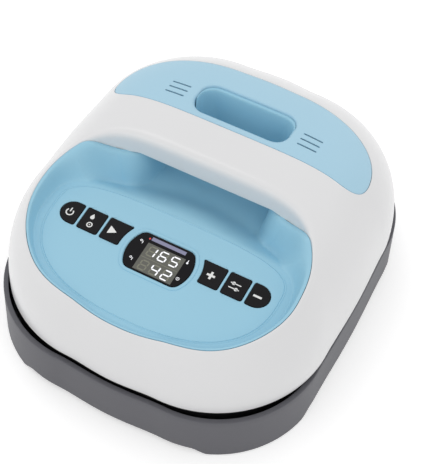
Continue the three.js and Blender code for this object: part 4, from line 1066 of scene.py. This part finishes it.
# Place of each sign along the key row, and its outlines about that place
SIGNS = {
    "key_power": (-89.6, [band(0, -0.3, 3.1, 1.1, ROUND_START, ROUND_END), bar(0, 2.2, 1.1, 4.0)]),
    "key_mode": (
        -69.0,
        [drop(-0.8, 3.6, 1.9, 3.705), band(0.8, -3.8, 2.2, 1.0, 0, FULL_TURN), bar(0.8, -3.8, 1.0, 1.0)],
    ),
    "key_start": (-48.2, [round_corners(np.array([(-3.2, -4.1), (4.3, 0.0), (-3.2, 4.1)]), 0.7, steps=4)]),
    "key_plus": (45.2, [cross(0, 0, 3.7, 1.0)]),
    "key_set": (
        67.2,
        [
            bar(0, -2.3, 9.6, 0.9),
            bar(0, 2.3, 9.6, 0.9),
            band(2.0, -2.3, 0.8, 1.6, 0, FULL_TURN),
            band(-2.0, 2.3, 0.8, 1.6, 0, FULL_TURN),
        ],
    ),
    "key_minus": (87.8, [bar(0, 0, 7.6, 1.9)]),
}


def print_on(name, outlines, shift_x, centre_y, lift, finish, body):
    """A thin print on the face of a key or of the display."""
    shape = Shape()
    for outline in outlines:
        moved = outline + (shift_x, 0)
        top = on_platform(moved, centre_y, lift + PRINT)
        shape.add(top, [range(len(top))])
        shape.wall([on_platform(moved, centre_y, lift), top])
    ink = new_object(name, np.vstack(shape.rows), shape.faces, finish, smooth=False)
    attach(ink, body)
    return ink


def build_signs():
    """One white sign on each key."""
    for name, (x, outlines) in SIGNS.items():
        ink = print_on(name + "_sign", outlines, x, KEY_Y + SIGN_DROP, KEY_PROUD, symbol_white, name)


build_keys()
build_signs()

# Display: a lit number over a lit number, with the unlit parts of the digits just visible

LENS_TOP = 0.2
DIGIT_WIDTH = 6.4
DIGIT_HEIGHT = 9.0
DIGIT_STROKE = 1.2
DIGIT_GAP = 0.2
DIGIT_PITCH = 10.6
DIGIT_SLANT = 0.1
DIGIT_MIDDLE_X = 2.0

# Lit strokes of each digit, and the height of each row with what it shows
DIGIT_STROKES = {"1": "bc", "2": "abdeg", "4": "bcfg", "5": "acdfg", "6": "acdefg", " ": ""}
DIGIT_ROWS = ((3.3, "165"), (-11.2, " 42"))


def stroke_outline(letter):
    """One of the seven strokes of a digit, with pointed ends, about the digit's middle."""
    half_x, half_y, half = DIGIT_WIDTH / 2, DIGIT_HEIGHT / 2, DIGIT_STROKE / 2
    flat = {"a": half_y, "g": 0.0, "d": -half_y}
    reach = (half_x if letter in flat else half_y / 2) - DIGIT_GAP
    end = reach - half
    outline = np.array([(-reach, 0), (-end, -half), (end, -half), (reach, 0), (end, half), (-end, half)])
    if letter in flat:
        outline += (0, flat[letter])
    else:
        side, row = 1 if letter in "bc" else -1, 1 if letter in "bf" else -1
        outline = outline[:, ::-1] * (-1, 1) + (side * half_x, row * half_y / 2)
    return outline + np.column_stack([DIGIT_SLANT * outline[:, 1], np.zeros(len(outline))])


def digit_strokes():
    """The strokes of all digits, as the lit ones and the unlit ones."""
    lit, unlit = [], []
    for y, digits in DIGIT_ROWS:
        for place, digit in enumerate(digits):
            centre = (DIGIT_MIDDLE_X + (place - 1) * DIGIT_PITCH, y)
            for letter in "abcdefg":
                group = lit if letter in DIGIT_STROKES[digit] else unlit
                group.append(stroke_outline(letter) + centre)
    return lit, unlit


def build_display():
    """Thin prints on the lens: window, bar, line, digits, small marks beside them and lamp."""
    lit, unlit = digit_strokes()
    marks = [
        band(-22.0, 9.4, 0.8, 0.45, 0, FULL_TURN),
        bar(-20.2, 8.2, 0.5, 2.6),
        band(-21.8, -8.9, 0.8, 0.45, 0, FULL_TURN),
        bar(-20.0, -10.1, 0.5, 2.6),
        bar(22.4, 9.0, 0.6, 2.6),
        band(22.4, 7.3, 0.5, 0.8, 0, FULL_TURN),
        band(22.6, -9.4, 1.3, 0.4, 0, FULL_TURN),
        bar(22.6, -9.0, 0.35, 1.2),
    ]
    layers = [
        ("display_window", [bar(2.1, -3.7, 35.4, 27.4)], 0, window_olive),
        ("display_bar", [bar(1.3, 14.7, 32.0, 3.4)], 0, bar_lavender),
        ("display_line", [bar(2.1, -4.0, 33.6, 0.5)], PRINT, digit_unlit),
        ("display_digits_unlit", unlit, PRINT, digit_unlit),
        ("display_digits_lit", lit, PRINT, digit_lit),
        ("display_marks", marks, 0, digit_lit),
        ("display_lamp", [band(-16.4, 13.9, 0.4, 0.8, 0, FULL_TURN)], PRINT, lamp_red),
    ]
    for name, outlines, lift, finish in layers:
        ink = print_on(name, outlines, 0, DISPLAY_Y, LENS_TOP + lift, finish, "press")


build_display()

# Base tray

tray_low, tray_high = node_box("base_tray")
TRAY_HALF_X = SHELL_HALF_X
TRAY_END_MARGIN = 4.5
TRAY_HALF_Y = SHELL_HALF_Y + TRAY_END_MARGIN
TRAY_RIM = tray_high[2]
TRAY_BOTTOM = tray_low[2]
TRAY_RADIUS = 97.0
TRAY_DRAFT = 1.98
DRAFT_SHARES = np.linspace(0.1, 1, 8)
TRAY_WALL = 4.4
TRAY_SKIRT = 3.2
TRAY_FLOOR = 10.2
TRAY_CHAMFER = 0.8
TRAY_INNER_EDGE = 0.5
TRAY_INNER_DROP = 2.0
TRAY_FOOT_EDGE = 0.4
SPAN_HEIGHT = 7.5
NOTCH_RUN = 10.0
SIDE_SPAN = 86.0
END_SPAN = 80.0


def tray_foot(outline):
    """Height of the tray's lower edge: on the ground at the corners, raised between them."""
    x, y = np.abs(outline[:, 0]), np.abs(outline[:, 1])
    on_side = y / TRAY_HALF_Y < x / TRAY_HALF_X
    past = np.where(on_side, y - SIDE_SPAN, x - END_SPAN)
    return lerp(SPAN_HEIGHT, TRAY_BOTTOM, np.clip(past / NOTCH_RUN, 0, 1))


def build_tray():
    """The grey tray: a drafted wall on four corner feet, an open top and a flat floor."""
    base_line = rounded_outline(
        TRAY_HALF_X, TRAY_HALF_Y, TRAY_RADIUS, SIDE_BOW, END_BOW, corner=50, side=100
    )
    foot_z = tray_foot(base_line)
    edge_z = foot_z + TRAY_FOOT_EDGE
    rings = []

    def ring(margin, z):
        rings.append(level(offset_outline(base_line, margin), z))

    def draft(z):
        return TRAY_DRAFT * (1 - (z - TRAY_BOTTOM) / (TRAY_RIM - TRAY_BOTTOM))

    ring(draft(foot_z) - TRAY_SKIRT, SPAN_HEIGHT)
    ring(draft(foot_z) - TRAY_SKIRT, foot_z)
    ring(draft(foot_z) - TRAY_FOOT_EDGE, foot_z)
    ring(draft(foot_z), edge_z)
    for share in DRAFT_SHARES:
        z = lerp(edge_z, TRAY_RIM - TRAY_CHAMFER, share)
        ring(draft(z), z)
    for angle in quarter_turn(steps=4):
        margin = -TRAY_CHAMFER * (1 - math.cos(angle))
        ring(margin, TRAY_RIM - TRAY_CHAMFER * (1 - math.sin(angle)))
    for angle in quarter_turn(steps=3):
        margin = TRAY_INNER_EDGE * (1 - math.sin(angle)) - TRAY_WALL
        ring(margin, TRAY_RIM - TRAY_INNER_EDGE * (1 - math.cos(angle)))
    ring(-TRAY_WALL, TRAY_RIM - TRAY_INNER_DROP)
    ring(-TRAY_WALL, TRAY_FLOOR)
    vertices, faces = rings_mesh(rings, close_end=True)
    under = len(vertices)
    vertices = np.vstack([vertices, rings[0]])
    faces.append(tuple(range(under, len(vertices)))[::-1])
    tray = new_object("tray_shell", vertices, faces, tray_plastic)
    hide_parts("base_tray")
    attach(tray, "base")


build_tray()

# CAD nodes that keep their own shape

JOIN_DISTANCE = 0.002

# Material of each node, by a part of its name
KEPT = {
    "screw": screw_steel,
    "handle_underside": white_gloss,
    "lower_housing": black_plastic,
    "cord_gland": black_plastic,
    "heat_plate": plate_metal,
    "heating_element": screw_steel,
    "insulation_blanket": felt_fibre,
    "heat_shield": screw_steel,
    "plate_post": screw_steel,
    "thermal_cutout": dark_part,
    "temperature_sensor": screw_steel,
    "power_board": board_green,
    "transformer": dark_part,
    "relay": dark_part,
    "terminal_block": dark_part,
    "capacitor": dark_part,
    "fuse": screw_steel,
    "display_lens": lens_gloss,
    "display_module": dark_part,
    "control_board": board_green,
    "rubber_foot": foot_rubber,
    "rest_strip": strip_silicone,
    "insulating_mat": felt_fibre,
}


def dress_nodes():
    """Materials and smooth shading for the CAD nodes that stay in view."""
    for name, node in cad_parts.items():
        stem = next((k for k in KEPT if k in name), None)
        if stem is None:
            continue
        node.data.materials.clear()
        node.data.materials.append(KEPT[stem])
        joined = node.modifiers.new("join", "WELD")
        joined.merge_threshold = JOIN_DISTANCE * MM
        for polygon in node.data.polygons:
            polygon.use_smooth = True
        sharp = node.modifiers.new("sharp", "EDGE_SPLIT")
        sharp.split_angle = SHARP_ANGLE


dress_nodes()

# Floor, lamps and world, in metres and watts

FLOOR_SIZE = 12
FLOOR_COLOUR = (0.86, 0.86, 0.86, 1)
FLOOR_ROUGHNESS = 0.9
FLOOR_SPECULAR = 0.1
FLOOR_GLOW = 0.42
WORLD_LIGHT = 0.74
WHITE = (1, 1, 1, 1)
LAMP_TARGET = Vector((0, 0, 0.1))

# Place, size and power of each lamp
LAMPS = {
    "key_lamp": ((-0.9, 0.6, 2.2), (0.9, 0.9), 3.8),
    "fill_lamp": ((1.6, -0.9, 1.6), (1.6, 1.2), 3),
    "front_lamp": ((-1.0, -1.8, 1.4), (1.4, 1.0), 4),
    "rear_lamp": ((0.5, 2.0, 1.2), (1.4, 0.5), 2),
}


def seen_directly(nodes, links):
    """A value of 1 for rays from the camera, a mirror or glass, and 0 for the light of the scene."""
    path = nodes.new("ShaderNodeLightPath")
    total = path.outputs["Is Camera Ray"]
    for name in ("Is Glossy Ray", "Is Transmission Ray"):
        largest = nodes.new("ShaderNodeMath")
        largest.operation = "MAXIMUM"
        links.new(total, largest.inputs[0])
        links.new(path.outputs[name], largest.inputs[1])
        total = largest.outputs["Value"]
    return total


def build_stage():
    """A plain pale floor that looks brighter than the light that it gives."""
    bpy.ops.mesh.primitive_plane_add(size=FLOOR_SIZE)
    floor = bpy.context.object
    floor.name = "floor"
    paper = bpy.data.materials.new("pale_paper")
    paper.use_nodes = True
    nodes, links = paper.node_tree.nodes, paper.node_tree.links
    principled = nodes["Principled BSDF"]
    surface = {
        "Base Color": FLOOR_COLOUR,
        "Roughness": FLOOR_ROUGHNESS,
        "Specular IOR Level": FLOOR_SPECULAR,
        "Emission Color": WHITE,
    }
    set_inputs(principled, surface)
    glow = scaled(nodes, links, seen_directly(nodes, links), 0, FLOOR_GLOW)
    links.new(glow, principled.inputs["Emission Strength"])
    floor.data.materials.append(paper)


def add_lamp(name, place, size, power):
    data = bpy.data.lights.new(name, "AREA")
    data.shape = "RECTANGLE"
    data.size, data.size_y = size
    data.energy = power
    lamp = bpy.data.objects.new(name, data)
    bpy.context.scene.collection.objects.link(lamp)
    lamp.location = place
    lamp.rotation_euler = (LAMP_TARGET - Vector(place)).to_track_quat("-Z", "Y").to_euler()


def build_light():
    """A pale world and four soft lamps."""
    world = bpy.data.worlds.new("studio")
    bpy.context.scene.world = world
    world.use_nodes = True
    nodes, links = world.node_tree.nodes, world.node_tree.links
    background = nodes["Background"]
    background.inputs["Color"].default_value = WHITE
    strength = scaled(nodes, links, seen_directly(nodes, links), WORLD_LIGHT, 1)
    links.new(strength, background.inputs["Strength"])
    for name, (place, size, power) in LAMPS.items():
        add_lamp(name, place, size, power)
    bpy.context.scene.view_settings.view_transform = "Standard"


build_stage()
build_light()
